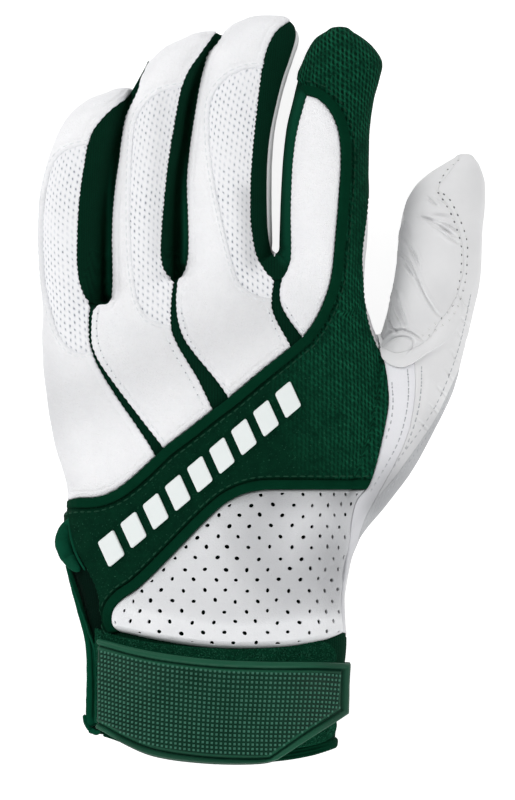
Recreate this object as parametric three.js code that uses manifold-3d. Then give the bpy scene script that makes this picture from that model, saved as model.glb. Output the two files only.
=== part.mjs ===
// A left-hand batting glove lying palm down: fingers along +Y, thumb towards +X, back of the hand up (+Z).
// Millimetres. The glove is a hollow hand form cut into its sewn panels, with a strap that swings open.
import * as THREE from "three";
import { mergeVertices } from "three/addons/utils/BufferGeometryUtils.js";
import Module from "manifold-3d";

const wasm = await Module();
wasm.setup();

// Driving sizes
const gloveLength = 235; // longest fingertip to the lowest point of the hem
const gloveSpan = 141; // little-finger edge to thumb edge
const palmHeight = 36; // back of the hand above the table
const fingerHeight = 21; // a filled finger, back to palm side
const thumbHeight = 25;

// Material thicknesses
const leatherWall = 1.3;
const coverRaise = 0.6; // the mesh cover stands this far above the leather
const bindingRaise = 1.3; // a folded binding stands this far above the leather
const underlayThickness = 0.8;
const pileThickness = 0.8;
const hookThickness = 0.8;
const backingThickness = 1.2;
const gripThickness = 0.9;
const gripBorderRaise = 0.8;
const badgeThickness = 1.1;
const tabThickness = 1.1;

// Widths and clearances
const seamGap = 0.3; // between neighbouring pieces
const bindingWidth = 3.2;
const hemWidth = 3.4;
const gussetLap = 2.6; // how far a stretch gusset reaches under each panel
const gripBorderWidth = 3;
const slitCordRadius = 1.5;
const badgeBarWidth = 6.2;
const badgeBarPitch = 9;
const badgeBarHeight = 8.2;
const cutReach = 90; // cutters run this far past the glove
const mergeTolerance = 1e-4;

// Shares of a part's own half height at which its seams run
const fingerSeamShare = 0.06;
const thumbSeamShare = 0.02;
const ringLeftSeamShare = 0.42; // where the fourchette meets the back panel on a finger's left side
const middleLeftSeamShare = 0.5;
const slitEdgeShare = 0.15; // the palm's side wall ends here along the slit

const badgeBarCount = 9;
const badgeSlant = THREE.MathUtils.degToRad(16);
const palmSides = 28;
const fingerSides = 14;
const cordSides = 6;
const palmSquareness = 2.4; // superellipse exponent: 2 is an ellipse
const fingerSquareness = 2.15;

// The photograph's frame: every value ending in Px is a place in it
const photoLeftPx = 38;
const photoRightPx = 486;
const photoTopPx = 14;
const photoBottomPx = 762;
const mmPerPxX = gloveSpan / (photoRightPx - photoLeftPx);
const mmPerPxY = gloveLength / (photoBottomPx - photoTopPx);
const xAt = (px) => (px - (photoLeftPx + photoRightPx) / 2) * mmPerPxX;
const yAt = (py) => ((photoTopPx + photoBottomPx) / 2 - py) * mmPerPxY;
const placeAt = ([px, py]) => new THREE.Vector2(xAt(px), yAt(py));

// Hand form: rows of [level, left edge, right edge] in the photograph, from the wrist side to the tip.
// The height shares beside them are [middle, half height] of the part's named height, row by row.
const palmRowsPx = [
  [810, 92, 333], [740, 91, 335], [690, 89.5, 339], [640, 87, 342.5], [600, 79, 344.5], [565, 68, 350],
  [530, 65, 361], [490, 65.5, 370], [440, 55, 384], [400, 48, 388], [360, 43.5, 383], [315, 41, 370], [250, 42, 360],
];
const palmHeightShares = [
  [0.51, 0.55], [0.51, 0.55], [0.51, 0.55], [0.49, 0.53], [0.48, 0.52], [0.475, 0.515],
  [0.47, 0.51], [0.47, 0.51], [0.47, 0.51], [0.465, 0.505], [0.455, 0.495], [0.42, 0.43], [0.38, 0.33],
];
const palmSeamShares = [0.15, 0.15, 0.15, 0.15, 0.15, 0.15, 0.1, 0, -0.08, -0.12, -0.15, -0.1, -0.05];
const pinkyRowsPx = [
  [345, 48, 102], [285, 40.5, 105.8], [235, 38, 106.3], [200, 39.3, 109.2], [165, 46.5, 114.5], [135, 57, 119.3],
  [113, 70.5, 124.5], [98, 89, 130], [91, 108, 132],
];
const pinkyHeightShares = [
  [0.64, 0.5], [0.66, 0.54], [0.69, 0.52], [0.66, 0.51], [0.6, 0.49], [0.52, 0.47],
  [0.44, 0.41], [0.38, 0.32], [0.35, 0.18],
];
const pinkyTipPx = [125, 87];
const ringRowsPx = [
  [330, 108, 174], [280, 108.2, 176.5], [225, 109, 177.5], [180, 114.5, 179.5], [140, 121, 185.5],
  [108, 129, 190], [82, 138.5, 196], [62, 149, 203], [47, 164, 210.5], [36, 186, 218],
];
const ringHeightShares = [
  [0.68, 0.54], [0.71, 0.57], [0.74, 0.55], [0.71, 0.54], [0.65, 0.52],
  [0.56, 0.49], [0.49, 0.46], [0.43, 0.41], [0.38, 0.33], [0.35, 0.2],
];
const ringTipPx = [210, 30];
const middleRowsPx = [
  [320, 183, 268], [270, 179.5, 271.5], [220, 180.2, 271], [175, 183, 269.5], [138, 188.2, 271.7],
  [105, 192.5, 278], [78, 199.3, 285], [56, 207.5, 293], [38, 219, 298], [24, 231, 294], [17, 247, 288],
];
const middleHeightShares = [
  [0.7, 0.55], [0.73, 0.59], [0.76, 0.57], [0.73, 0.55], [0.67, 0.53],
  [0.58, 0.5], [0.5, 0.47], [0.44, 0.42], [0.38, 0.35], [0.35, 0.25], [0.34, 0.14],
];
const middleTipPx = [269, 14];
const indexRowsPx = [
  [335, 284, 366], [280, 277.5, 364], [225, 279.5, 367.3], [170, 283.7, 366.8], [130, 288.3, 367.8],
  [100, 293.3, 372], [78, 298.5, 378], [64, 303.5, 381], [50, 309.5, 374], [38, 317.5, 361.5], [31, 329, 350],
];
const indexHeightShares = [
  [0.68, 0.54], [0.72, 0.57], [0.75, 0.55], [0.69, 0.53], [0.59, 0.51],
  [0.52, 0.48], [0.46, 0.44], [0.43, 0.41], [0.38, 0.34], [0.35, 0.25], [0.34, 0.14],
];
const indexTipPx = [340, 27.5];
const thumbRowsPx = [
  [580, 308, 342], [540, 312, 359], [505, 319, 384], [470, 328.5, 410], [430, 341.5, 431.5], [390, 358, 452],
  [350, 375, 464], [310, 388, 474], [270, 395.5, 481], [230, 400, 482.5], [203, 406, 485], [185, 416, 485],
  [170, 434, 479], [160, 450, 472],
];
const thumbHeightShares = [
  [0.6, 0.46], [0.61, 0.52], [0.61, 0.55], [0.59, 0.55], [0.57, 0.54], [0.55, 0.53],
  [0.53, 0.51], [0.52, 0.5], [0.51, 0.49], [0.49, 0.48], [0.46, 0.45], [0.42, 0.4],
  [0.37, 0.3], [0.35, 0.18],
];
const thumbTipPx = [463, 154];
const palmFrontPx = [
  [0, 330], [41, 318], [100, 303], [107, 302], [115, 300], [170, 281], [178, 279], [190, 275], [265, 264],
  [275, 262], [285, 264], [360, 300], [374, 318], [400, 340], [560, 340], [560, 850], [0, 850],
];
const hemEdgePx = [
  [0, 728], [60, 731], [92, 734], [105, 736], [150, 751], [185, 758], [230, 761.5], [275, 760], [310, 755],
  [370, 740], [560, 735],
];

// Panel edges on the back of the hand
const pinkyRightPx = [
  [131.5, 89], [127, 98], [110, 111], [95, 128], [90, 139], [87, 152], [81, 192], [79, 216], [78, 262],
  [80, 280], [84, 293], [90, 302],
];
const pinkyKnucklePx = [
  [90, 302], [88.5, 320], [89.5, 342], [95, 360], [104, 377], [116, 396], [145, 438], [156, 456],
];
const pinkyRingGapPx = [[148, 57], [140, 72], [124, 118], [112.8, 180], [107.5, 230], [107, 303]];
const ringKnuckleLeftPx = [
  [107, 303], [98, 305], [93.5, 311], [92, 325], [92, 342], [97, 357], [107, 373], [164, 448],
];
const ringRightPx = [
  [216, 27], [211, 38], [188, 73], [183.5, 85], [170, 157], [165, 203], [162, 250], [163, 264], [167, 273],
  [173, 279],
];
const ringKnucklePx = [[173, 279], [171.5, 328], [178, 345], [198, 379], [213, 410]];
const ringMiddleGapPx = [
  [229, 18], [223, 30], [209.7, 50], [198, 78], [193.3, 95], [182, 170], [179.4, 200], [178, 280],
];
const middleKnuckleLeftPx = [[178, 280], [176.5, 300], [178, 318], [184, 337], [194, 352], [218, 382], [229, 398]];
const middleRightPx = [
  [291, 19], [282, 25], [275, 32], [270, 41], [266, 52], [263, 66], [253, 156], [251, 205], [252, 228],
  [255, 247], [260, 262], [267, 273], [274, 280],
];
const middleKnucklePx = [[274, 280], [272, 308], [291, 347]];
const indexLeftPx = [[306, 95], [297, 128], [294, 145], [292, 163], [290, 210], [290, 258], [287, 271], [282, 279]];
const indexKnucklePx = [[282, 279], [280, 291], [281.5, 304], [287, 315], [303, 337]];
const insertRightPx = [
  [303, 337], [312, 325], [320, 311], [326, 296], [331, 278], [336, 232], [341, 160], [340, 141], [337, 126],
  [331, 113], [323, 103], [314, 97], [306, 95],
];
const indexTipBorderPx = [[306, 95], [300, 84], [294, 74]];
const middleIndexGapPx = [[294, 74], [298, 62], [301, 50], [304, 38], [306, 5]];

// The mesh cover: its upper edge runs from the little-finger side up the diagonal to the index finger
const coverTopAtPinkyPx = [
  [40, 503], [58, 502], [69, 500], [80, 499], [95, 497.5], [110, 493], [122, 486], [138, 473], [156, 456],
];
const coverTopAtRingPx = [[164, 448], [185, 432], [213, 410]];
const coverTopAtMiddlePx = [[229, 398], [260, 372], [291, 347]];
const coverTopPx = [...coverTopAtPinkyPx, ...coverTopAtRingPx, ...coverTopAtMiddlePx, [303, 337]];
const coverRightPx = [
  [379, 350], [384, 364], [387, 384], [388, 402], [385, 422], [376, 463], [370, 482], [366, 489],
];
const ventTopPx = [
  [366, 489], [262, 489.5], [245, 493], [228, 501], [213, 513], [140, 586], [122, 599], [114.5, 610],
  [115, 622], [121, 631],
];
const ventBottomPx = [
  [121, 631], [150, 637.5], [200, 645.5], [245, 647.5], [290, 645.5], [325, 639], [342, 633], [351, 628],
];
const ventRightPx = [[351, 628], [352, 545], [354, 510], [366, 489]];
const slitBackEdgePx = [[104, 634], [102, 612], [98, 590], [90, 572], [71, 541], [60, 527], [40, 522]];
const cuffLeftPx = 104;
const cuffEdgePx = [[104, 634], [121, 631]];

// Mesh windows in the three outer finger backs
const pinkyMeshPx = [
  [100, 148], [87, 145], [76, 147], [65, 151], [57, 158], [51, 169], [46.5, 188], [43.5, 212], [42.5, 240],
  [43.5, 266], [46, 290], [52, 314], [60, 336], [70, 348], [84, 353], [95, 344], [110, 300],
];
const ringMeshPx = [
  [190, 87], [171, 89], [159, 93], [148, 101], [140, 111], [135, 123], [131.5, 163], [131, 238], [135, 285],
  [140, 304], [147, 316], [158, 322], [176, 323], [185, 270],
];
const middleMeshPx = [
  [270, 68], [251, 68], [240, 71], [228, 77], [218, 87], [211.5, 98], [209, 113], [209, 131], [210, 151],
  [216, 191], [234.5, 269], [241, 284], [251, 292], [262, 296.5], [279, 296], [285, 280],
];

// Thumb panels
const thumbSeamPx = [
  [459, 161], [448, 174], [440, 188], [458, 218], [463, 235], [466, 255], [465, 275], [461, 293], [452, 310],
  [441, 325], [430, 337],
];
const webInnerPx = [[430, 337], [420, 347], [408, 353], [396, 355], [387, 351.5], [380.5, 346]];
const webAtThumbPx = [[434, 343], [425, 354], [414, 362.5]];
const webAtWristPx = [[402, 367.5], [391, 365.5], [384, 360], [379, 350]];
const webOuterPx = [...webAtThumbPx, ...webAtWristPx];
const sideStripRightPx = [[414, 362.5], [414, 401], [411, 421], [405, 441], [396, 461], [375, 499]];
const outerSeamPx = [
  [375, 499], [391, 481], [422, 440], [437, 415], [448, 390], [455, 366], [470, 300], [474, 275], [475, 250],
];
const wristRightPx = [[375, 499], [365, 518], [358, 540]];

// Hook-and-loop closure and strap
const loopPatchPx = [
  [121, 637], [150, 643.5], [200, 651.5], [245, 653.5], [290, 651.5], [322, 646], [330, 652], [331, 700],
  [328, 735], [290, 748], [230, 753], [180, 750], [140, 740], [121, 733],
];
const strapTopPx = [[80, 634], [97, 640], [150, 653], [200, 660], [250, 662.5], [300, 661.5], [360, 662]];
const strapBottomPx = [
  [80, 720], [97, 726], [120, 738], [150, 748.5], [190, 756.5], [230, 760], [262, 760], [280, 756.5],
  [322, 728], [348, 712], [360, 707],
];
const strapMiddlePx = 700;
const strapStartPx = 108;
const strapEndPx = 335;
const faceHoleStartPx = 100;
const faceEndPx = 326;
const borderInnerPx = 327;
const hookStartPx = 215;
const hookEndPx = 329;
const slitGussetPx = [[0, 515], [72, 515], [94, 545], [114, 590], [118, 636], [118, 738], [0, 738]];
const slitCordRowsPx = [570, 590, 610, 630, 660, 690, 715, 732];
const slitTabTopPx = 523;
const slitTabBottomPx = 564;
const slitTabAngles = [188, 176, 164, 152].map(THREE.MathUtils.degToRad);
const badgeStartPx = [113, 548];
const badgeEndPx = [299, 390];

// Shapes as closed solids, in plain functions
function solidOf(geometry) {
  geometry.deleteAttribute("normal");
  geometry.deleteAttribute("uv");
  const merged = mergeVertices(geometry, mergeTolerance);
  const vertProperties = merged.attributes.position.array;
  const triVerts = new Uint32Array(merged.index.array);
  return new wasm.Manifold(new wasm.Mesh({ numProp: 3, vertProperties, triVerts }));
}

// Rings of points, joined in order and closed at both ends by fans to the two end points.
function ringSolid(rings, startPoint, endPoint) {
  const sides = rings[0].length;
  const points = [...rings.flat(), startPoint, endPoint];
  const start = points.length - 2;
  const end = points.length - 1;
  const lastRing = (rings.length - 1) * sides;
  const faces = [];
  for (let j = 0; j < sides; j++) {
    const k = (j + 1) % sides;
    faces.push(start, j, k, end, lastRing + k, lastRing + j);
    for (let i = 0; i < lastRing; i += sides) {
      faces.push(i + j, i + sides + j, i + sides + k, i + j, i + sides + k, i + k);
    }
  }
  const geometry = new THREE.BufferGeometry().setFromPoints(points).setIndex(faces);
  return solidOf(geometry);
}

const middleOf = (ring) => ring.reduce((sum, p) => sum.add(p), new THREE.Vector3()).divideScalar(ring.length);

// A hand part as a stack of superellipse rings, one for each row, that can be grown or shrunk along its normals.
function makeLoft({ rowsPx, heightShares, height, squareness, sides, tipPx }) {
  const rows = rowsPx.map(([py, leftPx, rightPx], i) => ({
    y: yAt(py),
    left: xAt(leftPx),
    right: xAt(rightPx),
    middle: heightShares[i][0] * height,
    half: heightShares[i][1] * height,
  }));
  const lastRow = rows.at(-1);
  const tip = tipPx && new THREE.Vector3(xAt(tipPx[0]), yAt(tipPx[1]), lastRow.middle);
  const bend = (value) => Math.sign(value) * Math.abs(value) ** (2 / squareness);
  const pointOn = (row, angle) => {
    const across = ((row.right - row.left) / 2) * bend(Math.cos(angle));
    return new THREE.Vector3((row.left + row.right) / 2 + across, row.y, row.middle + row.half * bend(Math.sin(angle)));
  };
  const rowAt = (y) => {
    const i = Math.min(rows.length - 2, Math.max(0, rows.findIndex((row) => row.y > y) - 1));
    const t = (y - rows[i].y) / (rows[i + 1].y - rows[i].y);
    const mix = (key) => THREE.MathUtils.lerp(rows[i][key], rows[i + 1][key], t);
    return { y, left: mix("left"), right: mix("right"), middle: mix("middle"), half: mix("half") };
  };
  const angleStep = (2 * Math.PI) / sides;
  const angles = Array.from({ length: sides }, (_, j) => j * angleStep);
  // The leather lies flat where the form would sink below the table.
  const settle = (point, offset) => point.setZ(Math.max(point.z, Math.max(0, -offset)));
  const grown = (before, row, after, angle, offset) => {
    const along = new THREE.Vector3().subVectors(after(angle), before(angle));
    const around = new THREE.Vector3().subVectors(pointOn(row, angle + angleStep), pointOn(row, angle - angleStep));
    const normal = along.cross(around).normalize();
    return settle(pointOn(row, angle).addScaledVector(normal, offset), offset);
  };
  const ringAt = (i, offset) => {
    const before = (angle) => pointOn(rows[Math.max(0, i - 1)], angle);
    const after = (angle) => (i + 1 < rows.length ? pointOn(rows[i + 1], angle) : (tip ?? pointOn(rows[i], angle)));
    return angles.map((angle) => grown(before, rows[i], after, angle, offset));
  };
  const solid = (offset) => {
    const rings = rows.map((_, i) => ringAt(i, offset));
    const pull = tip && tip.clone().sub(middleOf(ringAt(rows.length - 1, 0))).setLength(Math.abs(offset) || 1);
    const end = tip ? tip.clone().addScaledVector(pull, Math.sign(offset)) : middleOf(rings.at(-1));
    return ringSolid(rings, middleOf(rings[0]), end);
  };
  // A point of the surface at any level, grown like its neighbours
  const surfaceAt = (y, angle, offset) => {
    const near = mmPerPxY;
    const before = (a) => pointOn(rowAt(y - near), a);
    const after = (a) => pointOn(rowAt(y + near), a);
    return grown(before, rowAt(y), after, angle, offset);
  };
  return { rows, tip, angles, solid, rowAt, pointOn, surfaceAt };
}

// Everything of a hand part that lies below a level, which is a share of its half height, between two edges.
function belowLevel(loft, levelShares, raise, leftOf, rightOf, fromRow = 0) {
  const rows = loft.rows.slice(fromRow);
  const rings = rows.map((row, i) => {
    const top = row.middle + row.half * (levelShares[i + fromRow] ?? levelShares) + raise;
    const left = leftOf(row) - raise;
    const right = rightOf(row) + raise;
    const corner = (x, z) => new THREE.Vector3(x, row.y, z);
    return [corner(right, -cutReach), corner(right, top), corner(left, top), corner(left, -cutReach)];
  });
  const beyond = loft.tip ? loft.tip.y + bindingRaise - rings.at(-1)[0].y : 0;
  const lap = raise + mergeTolerance * 10;
  rings.unshift(rings[0].map((p) => p.clone().setY(p.y - lap)));
  rings.push(rings.at(-1).map((p) => p.clone().setY(p.y + beyond + lap)));
  return ringSolid(rings, middleOf(rings[0]), middleOf(rings.at(-1)));
}

// Moves each side of a closed outline out (or in, for a negative distance) by the same distance.
function grow(outline, distance) {
  const turn = Math.sign(THREE.ShapeUtils.area(outline));
  const normalOf = (a, b) => new THREE.Vector2(b.y - a.y, a.x - b.x).normalize().multiplyScalar(turn);
  return outline.map((p, i) => {
    const before = normalOf(outline.at(i - 1), p);
    const after = normalOf(p, outline[(i + 1) % outline.length]);
    const mitre = before.clone().add(after).normalize();
    return p.clone().addScaledVector(mitre, distance / Math.max(mitre.dot(before), 0.5));
  });
}

// An upright block over an outline of the photograph
function block(outlinePx, growth = 0) {
  const outline = outlinePx.map(placeAt).filter((p, i, all) => p.distanceTo(all.at(i - 1)) > seamGap / 2);
  const shape = new THREE.Shape(growth ? grow(outline, growth) : outline);
  const geometry = new THREE.ExtrudeGeometry(shape, { depth: 2 * cutReach, bevelEnabled: false });
  return solidOf(geometry.translate(0, 0, -cutReach));
}

// A band of even width beside an edge of the photograph; a negative width lies on the edge's other side.
function ribbonPx(edgePx, width) {
  const edge = edgePx.map(placeAt);
  const shifted = edge.map((p, i) => {
    const along = new THREE.Vector2().subVectors(edge[Math.min(i + 1, edge.length - 1)], edge[Math.max(i - 1, 0)]);
    return new THREE.Vector2(along.y, -along.x).setLength(Math.abs(width)).multiplyScalar(Math.sign(width)).add(p);
  });
  const toPx = (p) => [p.x / mmPerPxX + (photoLeftPx + photoRightPx) / 2, (photoTopPx + photoBottomPx) / 2 - p.y / mmPerPxY];
  return [...edgePx, ...shifted.reverse().map(toPx)];
}

const back = (edgePx) => [...edgePx].reverse();

// The hand form
const palm = makeLoft({
  rowsPx: palmRowsPx, heightShares: palmHeightShares, height: palmHeight, squareness: palmSquareness, sides: palmSides,
});
const finger = (rowsPx, heightShares, tipPx, height = fingerHeight) =>
  makeLoft({ rowsPx, heightShares, height, squareness: fingerSquareness, sides: fingerSides, tipPx });
const pinky = finger(pinkyRowsPx, pinkyHeightShares, pinkyTipPx);
const ring = finger(ringRowsPx, ringHeightShares, ringTipPx);
const middle = finger(middleRowsPx, middleHeightShares, middleTipPx);
const index = finger(indexRowsPx, indexHeightShares, indexTipPx);
const thumb = finger(thumbRowsPx, thumbHeightShares, thumbTipPx, thumbHeight);
const digits = [pinky, ring, middle, index, thumb];

const aboveHem = block([...hemEdgePx, [560, -60], [0, -60]]);
const formAt = (offset) => {
  const palmBody = palm.solid(offset).intersect(block(palmFrontPx, offset));
  return wasm.Manifold.union([palmBody, ...digits.map((digit) => digit.solid(offset))]);
};
const forms = new Map();
const form = (offset) => {
  const key = offset.toFixed(3);
  if (!forms.has(key)) forms.set(key, formAt(offset));
  return forms.get(key);
};
const layer = (inner, outer) => form(outer).subtract(form(inner)).intersect(aboveHem);

const leftEdge = (row) => row.left - mmPerPxX;
const rightEdge = (row) => row.right + mmPerPxX;
const farRightEdge = (row) => row.right + bindingRaise;
const centreLine = (row) => (row.left + row.right) / 2;
const palmSide = (raise) =>
  wasm.Manifold.union([
    belowLevel(palm, palmSeamShares, raise, (row) => row.left - cutReach, (row) => row.right + mmPerPxX),
    ...[pinky, ring, middle].map((digit) => belowLevel(digit, fingerSeamShare, raise, leftEdge, rightEdge)),
    belowLevel(index, fingerSeamShare, raise, leftEdge, farRightEdge),
    belowLevel(thumb, thumbSeamShare, raise, centreLine, (row) => row.right + cutReach),
    belowLevel(thumb, thumbSeamShare, raise, leftEdge, rightEdge),
  ]);
const lowerHalf = palmSide(0);
const lowerHalfAndGap = palmSide(seamGap);
const ringLeftSide = (raise) => belowLevel(ring, ringLeftSeamShare, raise, leftEdge, centreLine, 1);
const middleLeftSide = (raise) => belowLevel(middle, middleLeftSeamShare, raise, leftEdge, centreLine, 1);

const group = new THREE.Group();

function addPiece(name, solid, material) {
  const parts = solid.decompose().sort((a, b) => b.volume() - a.volume());
  const mesh = parts[0].getMesh();
  const geometry = new THREE.BufferGeometry();
  const positions = new Float32Array(mesh.numVert * 3);
  for (let i = 0; i < mesh.numVert; i++) {
    positions.set(mesh.vertProperties.subarray(i * mesh.numProp, i * mesh.numProp + 3), i * 3);
  }
  geometry.setAttribute("position", new THREE.BufferAttribute(positions, 3));
  geometry.setIndex(new THREE.BufferAttribute(new Uint32Array(mesh.triVerts), 1));
  geometry.computeVertexNormals();
  const piece = new THREE.Mesh(geometry, material);
  piece.name = name;
  group.add(piece);
  return piece;
}

// Materials
const fabric = (color, roughness = 0.85) => new THREE.MeshStandardMaterial({ color, roughness, metalness: 0 });
const whiteLeather = fabric(0xf2f3f4, 0.55);
const greyLeather = fabric(0xdcdddd, 0.6);
const whiteMesh = fabric(0xeef0f2);
const greenKnit = fabric(0x04291a);
const greenMesh = fabric(0x0a3b26);
const greenBinding = fabric(0x0c4029);
const greenRubber = fabric(0x1c4f3a, 0.5);
const greenPile = fabric(0x06301f, 0.95);
const whiteRubber = fabric(0xeef3f2, 0.45);

// Panels of the back of the hand
const wholeWall = layer(-leatherWall, 0);
const upperWall = wholeWall.subtract(lowerHalfAndGap);
const lowerWall = wholeWall.intersect(lowerHalf);
const raisedWall = layer(-leatherWall, coverRaise).subtract(lowerHalfAndGap);
const boundWall = layer(-leatherWall, bindingRaise).subtract(lowerHalfAndGap);
const underlay = layer(-leatherWall - seamGap - underlayThickness, -leatherWall - seamGap);
const inset = -seamGap / 2;

const pinkyBackPx = [...pinkyRightPx, ...pinkyKnucklePx.slice(1), ...back(coverTopAtPinkyPx).slice(1), [0, 503], [0, 60], [136, 60]];
const ringBackPx = [
  ...pinkyRingGapPx, ...ringKnuckleLeftPx.slice(1), ...coverTopAtRingPx.slice(1), ...back(ringKnucklePx).slice(1),
  ...back(ringRightPx).slice(1), [214, 8], [150, 8],
];
const middleBackPx = [
  ...ringMiddleGapPx, ...middleKnuckleLeftPx.slice(1), ...coverTopAtMiddlePx.slice(1), ...back(middleKnucklePx).slice(1),
  ...back(middleRightPx).slice(1), [293, -10], [230, -10],
];
const indexInsertPx = [...indexLeftPx, ...indexKnucklePx.slice(1), ...insertRightPx.slice(1, -1)];

const addWindowedPanel = (name, meshName, outlinePx, windowPx, keepOut) => {
  const panel = upperWall.intersect(block(outlinePx, inset)).subtract(block(windowPx, seamGap / 2));
  const screen = upperWall.intersect(block(outlinePx, inset)).intersect(block(windowPx, inset));
  addPiece(name, keepOut ? panel.subtract(keepOut) : panel, whiteLeather);
  addPiece(meshName, keepOut ? screen.subtract(keepOut) : screen, whiteMesh);
};
addWindowedPanel("pinky_back_panel", "pinky_mesh_window", pinkyBackPx, pinkyMeshPx);
addWindowedPanel("ring_back_panel", "ring_mesh_window", ringBackPx, ringMeshPx, ringLeftSide(seamGap));
addWindowedPanel("middle_back_panel", "middle_mesh_window", middleBackPx, middleMeshPx, middleLeftSide(seamGap));
addPiece("index_back_insert", upperWall.intersect(block(indexInsertPx, inset)), whiteLeather);

// Fourchettes: the stretch strips that line the sides of two neighbouring fingers
const pinkyRingSidePx = [...pinkyRightPx, ...back(pinkyRingGapPx), [136, 76]];
const ringMiddleSidePx = [...ringRightPx, ...back(ringMiddleGapPx)];
const middleIndexSidePx = [
  ...middleRightPx, ...back(indexLeftPx), ...indexTipBorderPx.slice(1), ...middleIndexGapPx.slice(1), [294, 0],
];
const leftHalfOf = (gapPx, centrePx, crotchPx) => block([...gapPx, ...centrePx, crotchPx], inset);
const ringLeftZone = leftHalfOf(pinkyRingGapPx, [[150, 303], [150, 170], [190, 80], [225, 20]], [150, 8]);
const middleLeftZone = leftHalfOf(ringMiddleGapPx, [[226, 280], [226, 170], [250, 70], [275, 0]], [230, 0]);
const sideWall = upperWall;
const stripOf = (sidePx, leftSide, zone) =>
  sideWall.intersect(block(sidePx, inset)).add(sideWall.intersect(leftSide).intersect(zone));
addPiece("fourchette_pinky_ring", stripOf(pinkyRingSidePx, ringLeftSide(0), ringLeftZone), greenKnit);
addPiece("fourchette_ring_middle", stripOf(ringMiddleSidePx, middleLeftSide(0), middleLeftZone), greenKnit);
addPiece("fourchette_middle_index", sideWall.intersect(block(middleIndexSidePx, inset)), greenKnit);

// Stretch gussets that show between the knuckle ends of the panels
const gussetPx = {
  knuckle_gusset_pinky_ring: [...pinkyKnucklePx, ...back(ringKnuckleLeftPx)],
  knuckle_gusset_ring_middle: [...ringKnucklePx, ...back(middleKnuckleLeftPx)],
  knuckle_gusset_middle_index: [...middleKnucklePx, ...back(indexKnucklePx)],
};
for (const [name, outlinePx] of Object.entries(gussetPx)) {
  addPiece(name, underlay.subtract(lowerHalfAndGap).intersect(block(outlinePx, gussetLap)), greenKnit);
}

// Mesh cover with its two folded bindings
const coverPx = [
  ...coverTopPx, ...insertRightPx.slice(1), ...indexTipBorderPx.slice(1), ...middleIndexGapPx.slice(1), [400, 5],
  [387, 90], [380, 200], [377.5, 300], ...coverRightPx, ...ventTopPx.slice(1), ...slitBackEdgePx,
];
const upperBindingPx = ribbonPx([...coverTopPx, ...insertRightPx.slice(1, -1)], bindingWidth);
const lowerBindingPx = ribbonPx(ventTopPx, bindingWidth);
const coverBlock = block(coverPx, inset);
const cover = raisedWall
  .intersect(coverBlock)
  .subtract(block(upperBindingPx, seamGap))
  .subtract(block(lowerBindingPx, seamGap));
addPiece("mesh_cover", cover, greenMesh);
addPiece("cover_upper_binding", boundWall.intersect(coverBlock).intersect(block(upperBindingPx)), greenBinding);
addPiece("cover_lower_binding", boundWall.intersect(coverBlock).intersect(block(lowerBindingPx)), greenBinding);

// Plain slanted bars in a row where the cover carries its raised trim
const badgeLayer = layer(coverRaise + seamGap, coverRaise + seamGap + badgeThickness);
const badgeStart = placeAt(badgeStartPx);
const badgeWay = new THREE.Vector2().subVectors(placeAt(badgeEndPx), badgeStart).normalize();
for (let i = 0; i < badgeBarCount; i++) {
  const centre = badgeStart.clone().addScaledVector(badgeWay, i * badgeBarPitch);
  const shape = new THREE.Shape(
    [[-1, -1], [1, -1], [1, 1], [-1, 1]].map(([u, v]) => {
      const across = (v * badgeBarHeight) / 2;
      const along = (u * badgeBarWidth) / 2 + across * Math.tan(badgeSlant);
      return new THREE.Vector2(along, across).rotateAround(new THREE.Vector2(), badgeWay.angle()).add(centre);
    }),
  );
  const bar = new THREE.ExtrudeGeometry(shape, { depth: cutReach, bevelEnabled: false });
  addPiece(`trim_bar_${i + 1}`, badgeLayer.intersect(solidOf(bar)), whiteRubber);
}

// Vent panel, wrist side and thumb
const ventPx = [...ventTopPx, ...ventBottomPx.slice(1), ...ventRightPx.slice(1, -1)];
addPiece("vent_panel", upperWall.intersect(block(ventPx, inset)), whiteLeather);

const wristSidePx = [
  ...coverRightPx, ...back(ventRightPx).slice(1), [420, 628], [430, 542], ...back(wristRightPx),
  ...back(sideStripRightPx).slice(1), ...webAtWristPx,
];
addPiece("wrist_side_panel", upperWall.intersect(block(wristSidePx, inset)), whiteLeather);
const thumbFrontPx = [...thumbSeamPx, ...webInnerPx.slice(1), [380, 300], [385, 200], [405, 120], [461, 120]];
const thumbOuterPx = [
  ...thumbSeamPx, ...webAtThumbPx, ...sideStripRightPx.slice(1), ...outerSeamPx.slice(1), [540, 248], [540, 110], [463, 110],
];
const thumbSidePx = [...outerSeamPx, [540, 250], [540, 400], [430, 542], ...back(wristRightPx).slice(0, -1)];
const webPx = [...webInnerPx, ...back(webOuterPx)];
addPiece("thumb_front_panel", upperWall.intersect(block(thumbFrontPx, inset)), greyLeather);
addPiece("thumb_outer_panel", upperWall.intersect(block(thumbOuterPx, inset)), greyLeather);
addPiece("thumb_side_mesh", upperWall.intersect(block(thumbSidePx, inset)), whiteMesh);
addPiece("thumb_web_binding", boundWall.intersect(block(webPx, inset)), greyLeather);

// Palm side
const thumbPalmPx = [[376, 340], [376, 100], [540, 100], [540, 322], [470, 340], [425, 350], [395, 350]];
const cuffZonePx = [[0, 641], [150, 645], [245, 654], [325, 646], [351, 635], [560, 632], [560, 900], [0, 900]];
const hemPx = ribbonPx(hemEdgePx, -hemWidth);
addPiece(
  "palm_leather",
  lowerWall.subtract(block(thumbPalmPx, seamGap / 2)).subtract(block(cuffZonePx, seamGap / 2)),
  greyLeather,
);
addPiece("thumb_palm_panel", lowerWall.intersect(block(thumbPalmPx, inset)), greyLeather);

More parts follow.
